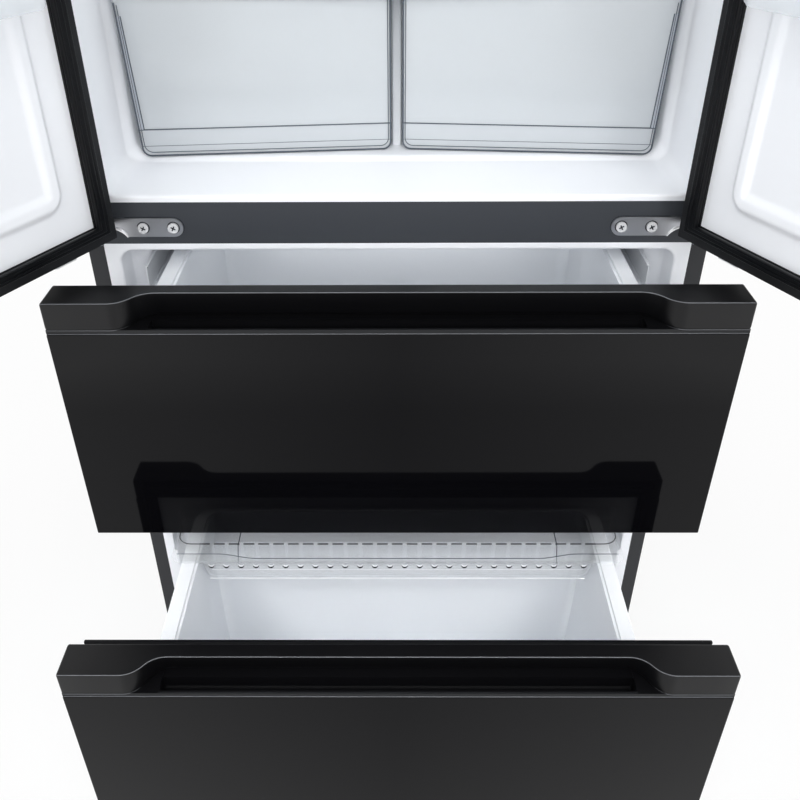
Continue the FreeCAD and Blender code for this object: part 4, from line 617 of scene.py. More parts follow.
for part in ("upper", "lower"):
    body = f"{part}_drawer"
    slides, liner, tub = f"{body}_slides", f"{body}_liner", f"{body}_box"
    piece(f"{body}.slides", slide(*boxOf(slides)), body, ["runnerWhite"], [slides])
    piece(f"{body}.innerLiner", [drawerPlug(*boxOf(liner))], body, ["linerWhite"], [liner])
    shape = drawerBox(*boxOf(tub), drawerTub["inside"][part])
    piece(f"{body}.box", [shape], body, ["boxWhite"], [tub])
print("drawer boxes made")


doorLiner = {
    "sheet": 0.003, "sideIn": 0.034, "endIn": 0.0265, "ridge": 0.02, "rise": 0.012, "start": 0.003,
    "full": 0.012, "recess": 0.004, "corner": 0.026, "underSeal": 0.001,
    "near": (0.006, 0.036, 0.002), "coarse": (0.04, 0.05),
    "ear": (-0.046, -0.032, 0.0115), "earDown": (0.004, 0.0075),  # sides and height; below the bar's ends
}


# a flat border, a soft ridge round the field and the field a step lower
def doorField(lo, hi, sheetLo, sheetHi):
    d = doorLiner
    box = fieldOf(lo, hi, d["sideIn"], d["endIn"])

    def height(x, z):  # one eased step up and, a ridge's width further in, a smaller one down
        depth = depthIn(x, z, box, d["corner"]) + d["start"]
        up, down = ease(depth / d["rise"]), ease((depth - d["ridge"]) / d["rise"])
        return d["sheet"] + (d["full"] - d["sheet"]) * up - d["recess"] * down

    return moulded(sheetLo, sheetHi, box, d["near"], d["coarse"], height, lo[1])


doorBin = {
    "tubs": ((1.128, 1.2), (1.31, 1.405), (1.515, 1.61)), "wall": 0.0025, "corner": 0.02, "floorRound": 0.01,
    "rim": 0.001, "rimEdge": 0.0008, "rimHigh": 0.005, "foot": 0.004, "leastCorner": 0.004,
}


def doorBinTub(lo, hi):  # a tub of rings with a thicker rolled rim
    d = doorBin
    base = rect(lo[0], hi[0], lo[1], hi[1])
    rim, edge, foot, under = d["rim"], d["rimEdge"], d["foot"], hi[2] - d["rimHigh"]
    wall, low = d["wall"] + rim, lo[2] + d["wall"]
    steps = [(foot + rim, lo[2]), (2 * rim, lo[2] + foot), (rim, under - rim), (0, under), (0, hi[2] - edge)]
    steps += [(edge, hi[2]), (wall - edge, hi[2]), (wall, hi[2] - edge), (wall, low + d["floorRound"])]
    steps += [(wall + over, low + left) for over, left in quarter(d["floorRound"], 3)[1:]]
    return stacked([(drawIn(base, by), max(d["corner"] - by, d["leastCorner"]), at) for by, at in steps])


for body in ("left_door", "right_door"):
    glass, gasket, liner, bins = [f"{body}_{part}" for part in ("glass", "gasket", "liner", "bins")]
    shapes = [softBlock(*shutBox(glass, body), **glassEdge, axis=1)]
    piece(f"{body}.frontGlass", hung(shapes, body), body, ["frontGlass"], [glass])
    lo, hi = shutBox(gasket, body)
    band = np.array(sealRibs["doorBand"])
    shapes = hung([seal(lo, hi, band)], body)
    piece(f"{body}.seal", shapes, body, ["gasketRubber"], [gasket], sealRibs["crease"])
    under = doorLiner["underSeal"]
    sheetLo = lo + np.array([band[3], 0, band[0]]) - under
    sheetHi = hi - np.array([band[1], 0, band[2]]) + under
    lo, hi = shutBox(liner, body)
    shapes = [doorField(lo, hi, sheetLo, sheetHi)]
    if body == "left_door":  # two ears hold the pivots of the folding bar
        barLo, barHi = shutBox("mullion_bar", body)
        x0, x1, high = doorLiner["ear"]
        for low in np.array([barLo[2], barHi[2]]) - doorLiner["earDown"]:
            shapes.append(softBlock((x0, lo[1], low), (x1, hi[1], low + high), **smallBlock))
    piece(f"{body}.innerLiner", hung(shapes, body), body, ["linerWhite"], [liner])
    lo, hi = shutBox(bins, body)
    shapes = [doorBinTub((lo[0], lo[1], low), (hi[0], hi[1], top)) for low, top in doorBin["tubs"]]
    piece(f"{body}.bins", hung(shapes, body), body, ["clearPlastic"], [bins])
print("doors made")


# a room's mouth and its inside, each by half width, floor and ceiling
fridgeLiner = {
    "mouth": (0.384, 0.8737, 1.722), "inner": (0.372, 0.879, 1.713), "step": (0.129, 0.147),
    "mouthRound": 0.02, "innerRound": 0.026, "deep": 0.53, "backRound": 0.02,
}
freezerLiner = {
    "mouth": (0.375, 0.0785, 0.797), "inner": (0.348, 0.0835, 0.792), "step": (0.042, 0.062),
    "mouthRound": 0.018, "innerRound": 0.01, "lowDeep": 0.395, "deep": 0.48, "ledge": 0.326,
}
linerSheet = {"lip": 0.0035, "wall": 0.0012, "outerRound": 0.002}


# a skin of loops (half width, low, high, corner radius, depth) and a second one a wall's thickness outside
def roomSkin(loops, front):
    wall = linerSheet["wall"]
    inner = [(rect(-h, h, a, b), r, front + y) for h, a, b, r, y in loops]
    rim = (*inner[0][:2], front + wall)
    outer = [(drawIn(corners, -wall), r, at + wall) for corners, r, at in inner[1:]]
    return stacked(inner[::-1] + [rim] + outer, 7, 1)


# from the outer edge over a rounded lip, along the mouth and in to the inside along an S
def roomMouth(d, lo, hi):
    m, n, (y0, y1), (r0, r1) = d["mouth"], d["inner"], d["step"], (d["mouthRound"], d["innerRound"])
    loops = [(hi[0], lo[2], hi[2], linerSheet["outerRound"], 0.0)]
    loops += [(m[0] + left, m[1] - left, m[2] + left, r0, over) for over, left in quarter(linerSheet["lip"])]
    loops += [(*m, r0, y0)]
    for t in np.linspace(0, 1, 7)[1:]:
        s = ease(t)
        loops += [(*[a + (b - a) * s for a, b in zip(m, n)], r0 + (r1 - r0) * s, y0 + (y1 - y0) * t)]
    return loops


d = fridgeLiner
(half, low, high), r = d["inner"], d["innerRound"]
lo, hi = boxOf("fridge_liner")
front = lo[1]
loops = roomMouth(d, lo, hi)
bend, deep = quarter(d["backRound"]), d["deep"]
loops += [(half - over, low + over, high - over, r, deep - left) for over, left in bend]
piece("fridge.liner", [roomSkin(loops, front)], "cabinet", ["linerWhite"], ["fridge_liner"])

d = freezerLiner
(half, low, high), r, ledge = d["inner"], d["innerRound"], d["ledge"]
loops = roomMouth(d, *boxOf("freezer_liner"))
loops += [(half, z, high, r, y) for z, y in ((low, d["lowDeep"]), (ledge, d["lowDeep"]), (ledge, d["deep"]))]
piece("freezer.liner", [roomSkin(loops, front)], "cabinet", ["linerWhite"], ["freezer_liner"])
print("liners made")


crisperDrawer = {
    "lean": 0.026, "sweep": 0.03, "sideIn": -0.004, "tubIn": 0.0004, "wall": 0.0025, "corner": 0.012,
    "foot": 0.008, "rimHigh": 0.012, "panelOut": 0.0022, "panelFoot": 0.0012, "panelRound": 0.014,
    "panelLip": 0.0065, "panelIn": 0.001, "panelEdge": 0.0006, "topRound": 0.004,
    "line": 0.0007, "gapLine": 0.0013, "gapEnds": (0.3, 0.76), "gapFade": 0.03, "gapDown": 0.0005,
    "crossIn": 0.004, "bandLine": 1.2, "bandThick": 0.0004,
    "edgeLines": ((0.0008, 0.0, 1.8), (0.004, 0.005, 0.9)),  # how far in, how far up and how thick
    "crossLines": ((0.0395, 1.3), (0.0155, 0.5)),  # height and thickness
    "band": ((0.0022, 0.0), (0.0088, 0.0022)), "bandTop": 0.014,  # its sides at the foot, and their lean
    "guide": (0.0063, 0.075, 0.01, 0.0002, 0.004),  # half width; from the crisper's front, back, foot, top
}


def crisperFront(lo, s, t):  # the front plane: it leans out towards the top and runs back towards the middle
    return lo[1] + crisperDrawer["lean"] * (1 - t) + crisperDrawer["sweep"] * s


def crisperTub(lo, hi):  # rings of the leaning outline, up the outside and down the inside
    d = crisperDrawer
    outer, inner, back, high = lo[0] + d["tubIn"], hi[0], hi[1], hi[2] - lo[2]
    w, f, rim = d["wall"], d["foot"], high - d["rimHigh"]

    def outline(t, by):  # the four corners on plan at a share of the height, drawn in
        y0, y1 = [crisperFront(lo, s, t) + d["panelOut"] for s in (0, 1)]
        return drawIn(np.array([[outer, y0], [inner, y1], [inner, back], [outer, back]]), by)

    steps = [(left, over) for over, left in quarter(f)] + [(0, rim), (0, high), (w, high), (w, rim)]
    steps += [(w + over, w + left) for over, left in quarter(f)]
    return stacked([(outline(h / high, by), d["corner"], lo[2] + h) for by, h in steps], 5)


# points on the front plane from a place along it, a height and a distance before it
def onFront(lo, hi, s, h, out):
    d = crisperDrawer
    x = lo[0] + d["sideIn"] + s * (hi[0] - lo[0] - d["sideIn"])
    return xyz(x, crisperFront(lo, s, h / (hi[2] - lo[2])) - out + d["panelOut"], lo[2] + h)


def crisperPanel(lo, hi):  # a plate with rounded lower corners on the front plane
    d = crisperDrawer
    wide, out, edge = hi[0] - lo[0] - d["sideIn"], d["panelOut"], d["panelEdge"]
    base = rect(d["panelIn"], wide - d["panelIn"], d["panelFoot"], hi[2] - lo[2] + d["panelLip"])
    corners = [d["panelRound"]] * 2 + [d["topRound"]] * 2
    rings = []
    for by, at in ((0, 0.0), (0, out - edge), (edge, out)):
        loop = roundLoop(drawIn(base, by), corners, 7)
        rings.append(onFront(lo, hi, loop[:, 0] / wide, loop[:, 1], at))
    return skinOver(rings)


# wires of painted shade along the edges of the plate and the tub and the folds across its foot, a band tinted
# grey as painted shade, and a painted shadow in the gap
def crisperLines(lo, hi):
    d = crisperDrawer
    wide, high, out = hi[0] - lo[0] - d["sideIn"], hi[2] - lo[2], d["panelOut"]
    normal = (-d["sweep"] / wide, -1, -d["lean"] / high)
    lines = []
    for by, foot, thick in d["edgeLines"]:
        base = rect(d["panelIn"], wide - d["panelIn"], d["panelFoot"] + foot - by, high + d["panelLip"])
        loop = roundLoop(drawIn(base, by), [d["panelRound"] * 0.8] * 2 + [d["topRound"]] * 2, 7)
        loop = np.roll(loop, 10, axis=0)[7:-6]  # open at the top
        lines.append(wire(onFront(lo, hi, loop[:, 0] / wide, loop[:, 1], out), d["line"] * thick, normal))
    start = d["crossLines"][0][0]
    h = np.linspace(start, high - d["bandTop"], 8)
    near, far = [onFront(lo, hi, (a - b * (h - start) / high) / wide, h, out) for a, b in d["band"]]
    lines.append(wire(far, d["line"] * d["bandLine"], normal))
    thin = np.array([0, d["bandThick"], 0])
    band = grid(np.stack([near - thin, far - thin, far + thin, near + thin], 1), closeV=True, caps=True)
    s = np.linspace(d["crossIn"], 1 - d["crossIn"], 12)
    for at, thick in d["crossLines"]:
        lines.append(wire(onFront(lo, hi, s, 0 * s + at, out), d["line"] * thick, normal))
    (first, last), fade = d["gapEnds"], d["gapFade"]
    s = np.linspace(first, last, 14)
    # a dark wire of painted shadow in the gap under the plate
    gap = onFront(lo, hi, s, 0 * s + d["panelFoot"] - d["gapDown"], out - d["panelEdge"])
    swell = np.sin(math.pi * (s - first + fade) / (last - first + 2 * fade))  # thin at both ends
    return lines, [band], [wire(gap, d["gapLine"] * swell, normal)]


lo, hi = boxOf("crisper_left")
half, ahead, behind, under, above = crisperDrawer["guide"]
foot, head = (-half, lo[1] + ahead, lo[2] - under), (half, hi[1] - behind, hi[2] + above)
guide = softBlock(foot, head, **smallBlock)
piece("fridge.crisperGuide", [guide], "cabinet", ["linerWhite"])
for side in ("left", "right"):
    groups = [[crisperTub(lo, hi), crisperPanel(lo, hi)], *crisperLines(lo, hi)]
    if side == "right":
        groups = [list(map(mirrorX, group)) for group in groups]
    body, finishes = f"{side}_crisper", ("clearPlastic", "smokyEdge", "bandPlastic", "darkEdge")
    for name, shapes, paint in zip(("tub", "edges", "edgeBand", "gapLine"), groups, finishes):
        stands = [f"crisper_{side}"] if name == "tub" else ()
        piece(f"{body}.{name}", shapes, body, [paint], stands)
print("crispers made")


iceTray = {
    "flange": (0.3778, 0.3803), "lipIn": 0.013, "tubHalf": 0.29, "tubFront": 0.0138, "tubBack": 0.005,
    "wall": 0.0022, "corner": 0.016, "floorRound": 0.008, "lean": 0.006, "frontLean": 0.0004,
    "edgeIn": 0.0008, "mouthEdge": 0.0012, "apronHigh": 0.016, "apronDip": 0.009, "apronLow": 0.003,
    "apronEdge": 0.0007, "apronIn": 0.012, "dipStart": 0.262, "dipEnd": 0.205,
    "fine": ((-0.27, -0.2), (0.2, 0.27)),  # where the lip dips
    "combFront": 0.03, "combTop": 0.3963, "combThick": 0.0024, "combHalf": 0.3235, "combCorner": 0.02,
    "combEdge": 0.0006, "slotPitch": 0.0218, "slotWide": 0.006, "slotDeep": 0.04, "slots": 27,
    "edge": 0.0007, "ribAt": 0.234, "litLines": ((0.0, 0.0012, 0.9), (0.016, 0.003, 0.7)),  # in, up, thick
    "markLow": 0.369, "markRound": 0.0041, "markLift": 0.003, "markOut": 0.0012, "plateIn": 0.003,
    "combFoot": 0.004, "combLap": 0.002, "combBack": (0.03, 0.01), "lineIn": 0.012, "steps": (0.004, 0.03),
    "ribDown": 0.002, "ribRun": (0.003, 0.004, 0.04),  # out, forward and down
    "toothLine": 1.5, "endLine": 1.1, "ribLine": 1.2, "lipLine": 0.8,  # times the edge's thickness
}


def trayShell(lo, hi):  # the flange, with a tub that hangs in it
    d = iceTray
    z0, z1 = d["flange"]
    plate = rect(lo[0], hi[0], lo[1] + d["lipIn"] - d["plateIn"], hi[1])
    mouth = rect(-d["tubHalf"], d["tubHalf"], lo[1] + d["tubFront"], hi[1] - d["tubBack"])
    deep, w, e, m = lo[2], d["wall"], d["edgeIn"], d["mouthEdge"]
    bend = quarter(d["floorRound"])
    side = d["lean"]
    lean = np.array([d["frontLean"], side, side, side])  # the front stays nearly upright, the rest narrows
    steps = [(drawIn(mouth, lean + over - w), deep + left) for over, left in bend[::-1]]
    steps += [(drawIn(mouth, -w), z0), (plate, z0), (plate, z1 - e), (drawIn(plate, e), z1)]
    steps += [(drawIn(mouth, -m), z1), (mouth, z1 - m)]
    steps += [(drawIn(mouth, lean + over), deep + w + left) for over, left in bend]
    return stacked([(loop, d["corner"], at) for loop, at in steps])


def apronTop(x):  # the upper edge of the front lip: high at the ends, dipping to the middle
    d = iceTray
    dip = ease((d["dipStart"] - np.abs(x)) / (d["dipStart"] - d["dipEnd"]))
    return d["flange"][0] + d["apronHigh"] - d["apronDip"] * dip


def alongApron(lo, hi):  # sample lines along the lip, closer where its edge dips
    d = iceTray
    return fineNear(lo[0] + d["apronIn"], hi[0] - d["apronIn"], d["fine"], *d["steps"])


def trayApron(lo, hi):  # a thin upright section carried along x under that edge
    d = iceTray
    x = alongApron(lo, hi)
    y = lo[1] + d["lipIn"] + np.array([0, 0, 0.3, 0.7, 1, 1]) * d["wall"]
    top = apronTop(x)
    side, low = top - d["apronEdge"], 0 * top + d["flange"][0] - d["apronLow"]
    return grid(xyz(x[:, None], y, np.stack([low, side, top, top, side, low], 1)), closeV=True, caps=True)


def slotsAt(lo):  # where the teeth of the comb stand: their middles, and the comb's front
    d = iceTray
    return (np.arange(d["slots"]) - (d["slots"] - 1) / 2) * d["slotPitch"], lo[1] + d["combFront"]


def combCells(lo):  # one tooth and half a slot each side of it, repeated along x
    d = iceTray
    half, r, e, top = d["slotPitch"] / 2, d["slotWide"] / 2, d["combEdge"], d["combTop"]
    bottom = top - d["slotDeep"] + r
    low = bottom - r - d["combFoot"]
    t = np.linspace(0, math.pi / 2, 5)
    right = np.stack([half - r * np.sin(t), bottom - r * np.cos(t)], -1)
    crown = [[half - r, top - e], [half - r - e, top], [-half + r + e, top], [-half + r, top - e]]
    tooth = np.concatenate([[[-half, low], [half, low]], right, crown, right[::-1] * [-1, 1]])
    middles, y = slotsAt(lo)
    return [skinOver([lift(tooth + [x, 0], at, 1) for at in (y, y + d["combThick"])]) for x in middles]


def combEnd(lo, hi, sign):  # the plain wall from the last tooth round the corner and back along the side
    d = iceTray
    half, r, y = d["combHalf"], d["combCorner"], lo[1] + d["combFront"] + d["combThick"] / 2
    bend = [(sign * (half - left), y + over) for over, left in quarter(r, 7)]
    start = (sign * (d["slots"] / 2 * d["slotPitch"] - d["combLap"]), y)
    return np.array([start, *bend, *[(sign * half, hi[1] - back) for back in d["combBack"]]])


def wallOn(path, low, high, thick):  # an upright wall of even thickness along a line on plan
    along = np.gradient(path, axis=0)
    along /= np.linalg.norm(along, axis=1)[:, None]
    side = np.stack([-along[:, 1], along[:, 0]], -1) * thick / 2
    rows = [lift(path + s * side, z, 2) for s, z in ((-1, low), (1, low), (1, high), (-1, high))]
    return grid(np.stack(rows, 1), closeV=True, caps=True)


# lines of painted shade along the upper edges of the comb, painted shade and painted highlight at the slots'
# feet, lines of painted shade along the ribs and the lip's edge, and lines of painted highlight along the
# tub's lower edges
def trayLines(lo, hi):
    d = iceTray
    middles, y = slotsAt(lo)
    y, top, e, m = y + d["combThick"] / 2, d["combTop"], d["edge"], d["markRound"]
    reach = d["slotPitch"] / 2 - d["slotWide"] / 2
    dark, soft, lit = [], [], []
    t = np.linspace(-1.6, 1.6, 9)
    for x in middles:
        dark.append(wire(xyz(x + np.array([-reach, 0, reach]), y, top), e * d["toothLine"], (0, 0, 1)))
        if x > middles[0]:
            x -= d["slotPitch"] / 2
            front = lo[1] + d["tubFront"] - d["wall"] - d["markOut"]
            arc = xyz(x + m * np.sin(t), front, d["markLow"] + m - m * np.cos(t))
            dark.append(wire(arc, e * (0.35 + 1.25 * np.cos(t)), (0, 1, 0)))
            # a painted highlight above each dark arc of painted shade
            above = arc * [0.999, 1, 1] + [0, 0, d["markLift"]]
            lit.append(wire(above, e * (0.35 + 0.9 * np.cos(t)), (0, 1, 0)))
    back, run = np.linspace(y, hi[1] - d["combBack"][0], 6), np.linspace(0, 1, 6)
    out, forward, down = [by * run for by in d["ribRun"]]
    for sign in (-1, 1):
        dark.append(wire(lift(combEnd(lo, hi, sign), top, 2), e * d["endLine"], (0, 0, 1)))
        soft.append(wire(xyz(sign * d["ribAt"], back, top - d["ribDown"]), e * d["ribLine"], (0, 0, 1)))
        soft.append(wire(xyz(sign * (d["ribAt"] + out), y - forward, top - down), e, (1, 0, 0)))
    x = alongApron(lo, hi)
    soft.append(wire(xyz(x, lo[1] + d["lipIn"], apronTop(x)), e * d["lipLine"], (0, 1, 0)))
    half = d["tubHalf"] - d["lineIn"]
    x = np.linspace(-half, half, 20)
    for behind, high, thick in d["litLines"]:
        lit.append(wire(xyz(x, lo[1] + d["tubFront"] + behind, lo[2] + high), e * thick, (0, 1, 0)))
    return dark, soft, lit


lo, hi = boxOf("freezer_tray")
wall = (iceTray["flange"][1], iceTray["combTop"], iceTray["combThick"])
ends = [wallOn(combEnd(lo, hi, sign), *wall) for sign in (-1, 1)]
shell = [trayShell(lo, hi), trayApron(lo, hi)]
piece("tray.shell", shell, "tray", ["trayPlastic"], ["freezer_tray"])
piece("tray.comb", [*combCells(lo), *ends], "tray", ["combPlastic"])
lineNames, linePaints = ("combEdges", "lipEdge", "litEdges"), ("darkEdge", "smokyEdge", "whiteEdge")
for name, lines, paint in zip(lineNames, trayLines(lo, hi), linePaints):
    piece(f"tray.{name}", lines, "tray", [paint])
print("tray made")


hingeBracket = {
    "tip": 0.283, "end": 0.398, "edge": 0.0006, "thick": 0.003, "tongueFrom": 0.379, "tongueTo": 0.384,
    "outer": 0.4, "bend": 0.01, "tipIn": 0.009, "foldTop": 0.838, "biteAt": (0.3755, 0.8115),
    "bite": 0.0186, "lip": 0.0023, "lipOut": 0.0004, "gap": 0.0007, "gapEnds": (0.36, 0.35), "gapIn": 0.0003,
    "middleDown": 0.006, "tongueIn": 0.0006, "overBend": 0.002, "pinRun": (0.02, 0.015, 0.012),
}


def hingeBite(low):  # the round bite at the foot of the plate, from its lower edge to the top of the circle
    (x, z), r = hingeBracket["biteAt"], hingeBracket["bite"]
    a = np.linspace(math.asin((low - z) / r), math.pi / 2, 12)
    return np.stack([x - r * np.cos(a), z + r * np.sin(a)], -1)


# a flat plate with one round end and a bite at the other, the bite's swelling lip, bright steel as painted
# highlight, and a dark wire of painted shade in the gap round the end
def hingePlate(lo, hi):
    d = hingeBracket
    r, a = (hi[2] - lo[2]) / 2, np.linspace(math.pi / 2, 1.5 * math.pi, 14)
    tip = np.stack([d["tip"] + r + r * np.cos(a), lo[2] + r + r * np.sin(a)], -1)
    bite = hingeBite(lo[2])
    outline = np.concatenate([tip, bite, [[d["end"], bite[-1, 1]], [d["end"], hi[2]]]])
    middle = np.array([(d["tip"] + d["end"]) / 2, hi[2] - d["middleDown"]])
    front, back = hi[1] - d["thick"], hi[1]
    rings = [(0.996, front), (1.0, front + d["edge"]), (1.0, back)]
    plate = np.stack([lift(middle + (outline - middle) * by, at, 1) for by, at in rings])
    swell = d["lip"] * np.sin(np.linspace(0.5, 2.7, len(bite)))
    lip = wire(lift(bite, front - d["lipOut"], 1), swell, (0, 1, 0), sides=8)
    around = np.concatenate([[[d["gapEnds"][0], hi[2]]], tip, [[d["gapEnds"][1], lo[2]]]])
    gap = wire(lift(around, back - d["gapIn"], 1), d["gap"], (0, 1, 0))
    return grid(plate, closeV=True, caps=True), lip, gap


# a strip that leaves the plate, bends forward through a quarter circle and runs out to the pin
def hingeTongue(lo, hi):
    d = hingeBracket
    y0, low, b = hi[1] - d["tongueIn"], lo[2], d["bend"]
    over, left = quarter(b, 7).T
    y = np.concatenate([[y0, y0], y0 - over, lo[1] + np.array(d["pinRun"])])
    z = np.concatenate([[d["foldTop"], low + b + d["overBend"]], low + left, [low, low, low]])
    run = np.linspace(0, 1, len(y))
    narrow = d["tipIn"] * ease((run - 0.8) / 0.2)
    inner = d["tongueFrom"] + (d["tongueTo"] - d["tongueFrom"]) * ease(run / 0.55) + narrow
    outer = d["outer"] - narrow
    off = np.stack([np.gradient(z), -np.gradient(y)])
    ny, nz = off / np.hypot(*off) * d["thick"]
    corners = [xyz(inner, y, z), xyz(inner, y + ny, z + nz), xyz(outer, y + ny, z + nz), xyz(outer, y, z)]
    return grid(np.stack(corners, 1), closeV=True, caps=True)


lo, hi = boxOf("mid_hinges")
plate, lip, gap = hingePlate(lo, hi)
# the lip is bright steel as painted highlight; the gap is a dark line of painted shade
piece("cabinet.hingeLips", bothSides([lip]), "cabinet", ["screwSteel"])
piece("cabinet.hingeGaps", bothSides([gap]), "cabinet", ["darkEdge"])
shapes = bothSides([plate, hingeTongue(lo, hi)])
piece("cabinet.midHinges", shapes, "cabinet", ["zinc"], ["mid_hinges"])

screwMark = {
    "at": ((0.296, 0.831), (0.336, 0.831)), "ringAt": -0.1092, "ring": 0.0078, "ringWide": 0.0007,
    "arm": 0.0034, "wide": 0.0011, "tilt": 0.5, "slotIn": 0.0003,
}
face = boxOf("hinge_screws")[0][1] + screwMark["slotIn"]
turn = np.arange(24) * 2 * math.pi / 24
r, arm, tilt = screwMark["ring"], screwMark["arm"] * np.array([-1, 0, 1]), screwMark["tilt"]
marks = []
for x, z in screwMark["at"]:  # a dark ring of painted shade round each head and a dark cross of painted shade for the slot in it
    ring = xyz(x + r * np.cos(turn), screwMark["ringAt"], z + r * np.sin(turn))
    marks.append(wire(ring, screwMark["ringWide"], (0, 1, 0), True))
    for a in (tilt, tilt + math.pi / 2):
        cross = xyz(x + arm * math.cos(a), face, z + arm * math.sin(a))
        marks.append(wire(cross, screwMark["wide"], (0, 1, 0)))
piece("cabinet.screwMarks", bothSides(marks), "cabinet", ["darkEdge"])

doorStop = {
    "from": 0.034, "to": 0.072, "front": 0.006, "back": 0.008, "high": 0.011, "into": 0.001,
    "corner": 0.004, "edge": 0.0015,
}
d = doorStop
for body, way in (("left_door", 1), ("right_door", -1)):
    foot = shutBox(f"{body}_glass", body)[0][2]
    x, y, _ = swings[body]["pos_m"]
    x0, x1 = sorted([x + way * d["from"], x + way * d["to"]])
    lo, hi = (x0, y - d["front"], foot - d["high"]), (x1, y + d["back"], foot + d["into"])
    block = softBlock(lo, hi, d["corner"], d["edge"])
    piece(f"{body}.stop", hung([block], body), body, ["nylon"])
print("hinges made")


backSheet = {
    "edge": 0.03, "corner": 0.05, "rise": 0.01, "press": 0.003,
    "near": (0.004, 0.014, 0.002), "coarse": (0.06, 0.08),
}


def backField(lo, hi):  # a thin sheet with a wide pressed field
    d = backSheet
    box = fieldOf(lo, hi, d["edge"], d["edge"])

    def height(x, z):  # the sheet and an eased step
        return hi[1] - lo[1] + d["press"] * ease(depthIn(x, z, box, d["corner"]) / d["rise"])

    return moulded(lo, hi, box, d["near"], d["coarse"], height, lo[1])


backScrew = {
    "head": 0.0042, "high": 0.0022, "crown": 0.06, "sink": 0.0002, "in": 0.012, "across": (-0.2, 0.0, 0.2),
    "up": 7,
}


def domeScrew(x, y, z):  # a domed head turned from a quarter circle, on a face towards +y
    a, b = np.arange(16) * math.pi / 8, np.linspace(0, math.pi / 2, 5)[:-1]
    size = (backScrew["head"] * np.append(np.cos(b), backScrew["crown"]))[:, None]
    rise = (y + backScrew["high"] * np.append(np.sin(b), 1.0))[:, None]
    return grid(xyz(x + size * np.cos(a), rise, z + size * np.sin(a)), closeV=True, caps=True)


lo, hi = boxOf("back_panel")
piece("cabinet.backSheet", [backField(lo, hi)], "cabinet", ["backSheet"], ["back_panel"])
(x0, _, z0), (x1, _, z1) = lo + backScrew["in"], hi - backScrew["in"]
spots = [(x, z) for x in (x0, x1) for z in np.linspace(z0, z1, backScrew["up"])]
spots += [(x, z1) for x in backScrew["across"]]
heads = [domeScrew(x, hi[1] - backScrew["sink"], z) for x, z in spots]
piece("cabinet.backScrews", heads, "cabinet", ["zinc"])

coverCap = {"corner": 0.012, "edge": 0.005}
lo, hi = boxOf("top_hinge_covers")
inner = max(v.co.x for v in frame["nodes"]["top_hinge_covers"].data.vertices if v.co.x < 0)
caps = bothSides([softBlock(lo, (inner, *hi[1:]), **coverCap, steps=6)])
piece("cabinet.hingeCovers", caps, "cabinet", ["darkPlastic"], ["top_hinge_covers"])

foldBar = {"pin": 0.008, "round": 0.006, "edge": 0.002, "pinRadius": 0.003, "pinIn": 0.001}
lo, hi = shutBox("mullion_bar", "left_door")
low, high = lo[2] + foldBar["pin"], hi[2] - foldBar["pin"]
shapes = [softBlock((*lo[:2], low), (*hi[:2], high), foldBar["round"], foldBar["edge"])]
x, y = (lo[0] + hi[0]) / 2, lo[1] + (hi[0] - lo[0]) / 2
for a, b in ((lo[2], low + foldBar["pinIn"]), (high - foldBar["pinIn"], hi[2])):
    shapes.append(wire(xyz(x, y, np.array([a, (a + b) / 2, b])), foldBar["pinRadius"], (1, 0, 0), sides=12))
bar = hung(shapes, "left_door")
piece("mullion.bar", bar, "mullion", ["darkPlastic"], ["mullion_bar"])
print("back and bar made")


# the photograph's camera: place in metres, angles in degrees, lens in pixels of a square frame
photoCamera = {
    "place": (-0.0004, -1.1834, 1.2823), "down": 34.10, "turn": 0.52, "roll": -0.36,
    "lens": 863.9, "middle": 390.3, "frame": 800, "sensor": 36.0, "clip": (0.01, 200),
}


def spin(degrees):  # a turn about the third axis
    a = math.radians(degrees)
    return np.array([[math.cos(a), math.sin(a), 0], [-math.sin(a), math.cos(a), 0], [0, 0, 1]])


d = photoCamera
p = math.radians(d["down"])
look = np.array([[1, 0, 0], [0, math.sin(p), math.cos(p)], [0, math.cos(p), -math.sin(p)]])
right, up, ahead = spin(d["roll"]) @ look @ spin(d["turn"])
lens = bpy.data.cameras.new("photoCamera")
camera = bpy.data.objects.new("photoCamera", lens)
bpy.context.scene.collection.objects.link(camera)
camera.matrix_world = Matrix([*np.stack([right, up, -ahead, d["place"]], 1).tolist(), [0, 0, 0, 1]])
lens.sensor_width, lens.lens = d["sensor"], d["sensor"] * d["lens"] / d["frame"]
lens.shift_x = (d["frame"] / 2 - d["middle"]) / d["frame"]
lens.clip_start, lens.clip_end = d["clip"]
bpy.context.scene.camera = camera

studio = {  # each lamp's width and height, power, place, aim and spread in degrees
    "topLamp": ((2.6, 2.6), 3.0, (-0.3, -0.9, 3.4), (0, -0.1, 0.8), 180),
    "frontLamp": ((3.0, 2.0), 4.0, (0.6, -3.6, 2.2), (0, 0, 0.8), 180),
    "cameraLamp": ((2.6, 1.8), 35.0, (0.0, -3.5, 2.8), (0, -0.1, 0.5), 180),
    "drawerLampLeft": ((1.0, 0.3), 0.575, (-0.85, -1.6, 2.05), (0, -0.25, 0.2), 26),
    "drawerLampRight": ((1.0, 0.3), 0.575, (0.85, -1.6, 2.05), (0, -0.25, 0.2), 26),
    "fridgeLampLeft": ((0.6, 0.4), 0.45, (-1.1, -2.8, 1.85), (0, 0.1, 1.0), 28),
    "fridgeLampRight": ((0.6, 0.4), 0.45, (1.1, -2.8, 1.85), (0, 0.1, 1.0), 28),
    "fridgeRoomLamp": ((0.6, 0.05), 1.0, (0.0, -0.06, 1.71), (0, -0.061, 0.9), 180),
    "freezerRoomLamp": ((0.5, 0.05), 0.11, (0.0, 0.05, 0.79), (0, 0.049, 0.4), 180),
}
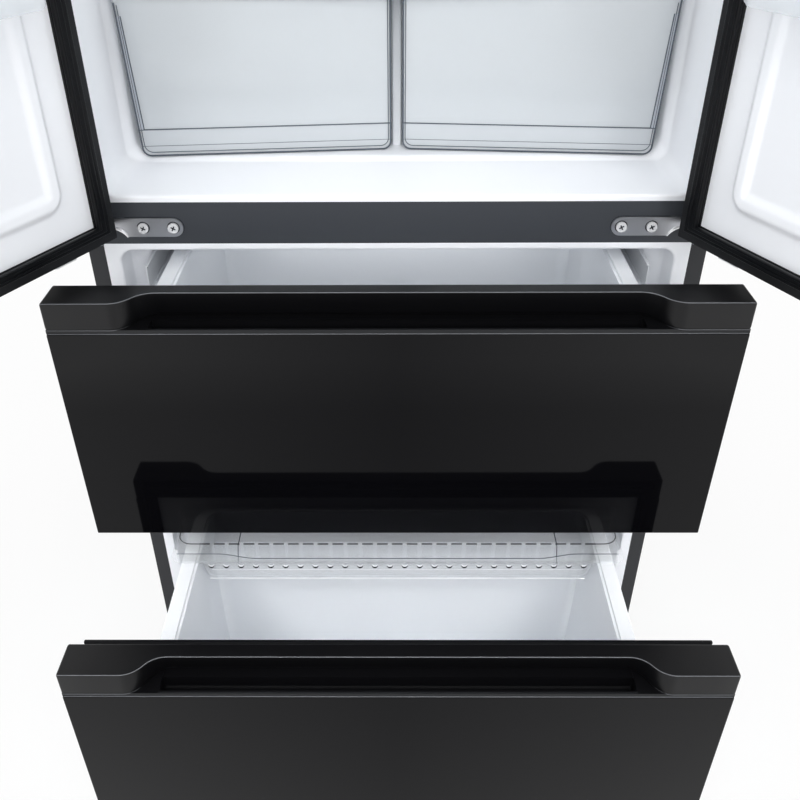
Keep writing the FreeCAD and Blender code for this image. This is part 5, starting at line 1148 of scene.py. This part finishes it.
for name, (size, power, place, aim, spread) in studio.items():  # area lamps, each turned to its aim
    light = bpy.data.lights.new(name, "AREA")
    light.shape, light.energy, light.spread = "RECTANGLE", power, math.radians(spread)
    light.size, light.size_y = size
    lamp = bpy.data.objects.new(name, light)
    bpy.context.scene.collection.objects.link(lamp)
    way = (Vector(place) - Vector(aim)).to_track_quat("Z", "Y")
    lamp.matrix_world = Matrix.Translation(place) @ way.to_matrix().to_4x4()
    lamp.visible_camera = lamp.visible_glossy = False

roomLight = {"level": 0.99}  # what reaches the object; the camera, gloss and glass see white
p = Paint("studioRoom", bpy.data.worlds)
camRay, glossRay, glassRay = p.rays()
seen = camRay.sum("MAXIMUM", glossRay).sum("MAXIMUM", glassRay)
level = seen * (1 - roomLight["level"]) + roomLight["level"]
glow = p.node("ShaderNodeBackground", {}, {"Color": (1, 1, 1, 1), "Strength": level})
bpy.context.scene.world = p.done(glow, "World")

paleFloor = {  # gloss shows a floor that is lighter to the sides and further in front: painted light and shade on the floor that the glass reflects
    "tones": ((0.9, 0.9, 0.905, 1), (0.92, 0.92, 0.925, 1)), "white": 0.85, "half": 40,
    "reach": 0.96, "middle": 0.62, "sides": 1.35, "from": 1.25, "over": 0.25, "gain": 0.6,
}
d = paleFloor
p = Paint("studioFloor")
tone = p.blend(p.noise(0.8), *d["tones"])
cast = p.skin({"Base Color": tone, "Roughness": 0.9, "Specular IOR Level": 0.1})
camRay, glossRay, glassRay = p.rays()
across, along = [p.node("ShaderNodeSeparateXYZ", {}, {0: p.place()}, axis) for axis in ("X", "Y")]
aside = p.part(p.node("ShaderNodeMath", {"operation": "ABSOLUTE"}, {0: across}), 1 / d["reach"])
before = p.part(along + d["from"], -1 / d["over"])
level = (aside * (d["sides"] - d["middle"]) + d["middle"]) * (before * d["gain"] + 1)
# painted shade: the reflected floor is darker in the middle
sweep = p.blend(level * 0.5, (0, 0, 0, 1), (2, 2, 2, 1))
white = p.node("ShaderNodeEmission", {}, {"Color": p.blend(glossRay, (1, 1, 1, 1), sweep), "Strength": 1.0})
share = (camRay + glossRay + glassRay) * d["white"]
paint = p.done(p.node("ShaderNodeMixShader", {}, {0: share, 1: cast, 2: white}))
mesh = bpy.data.meshes.new("studioFloor")
mesh.from_pydata(lift(rect(-d["half"], d["half"], -d["half"], d["half"]), 0, 2), [], [(0, 1, 2, 3)])
mesh.materials.append(paint)
floor = bpy.data.objects.new("studioFloor", mesh)
bpy.context.scene.collection.objects.link(floor)
bpy.context.scene.view_settings.view_transform = "Standard"
print("studio set")
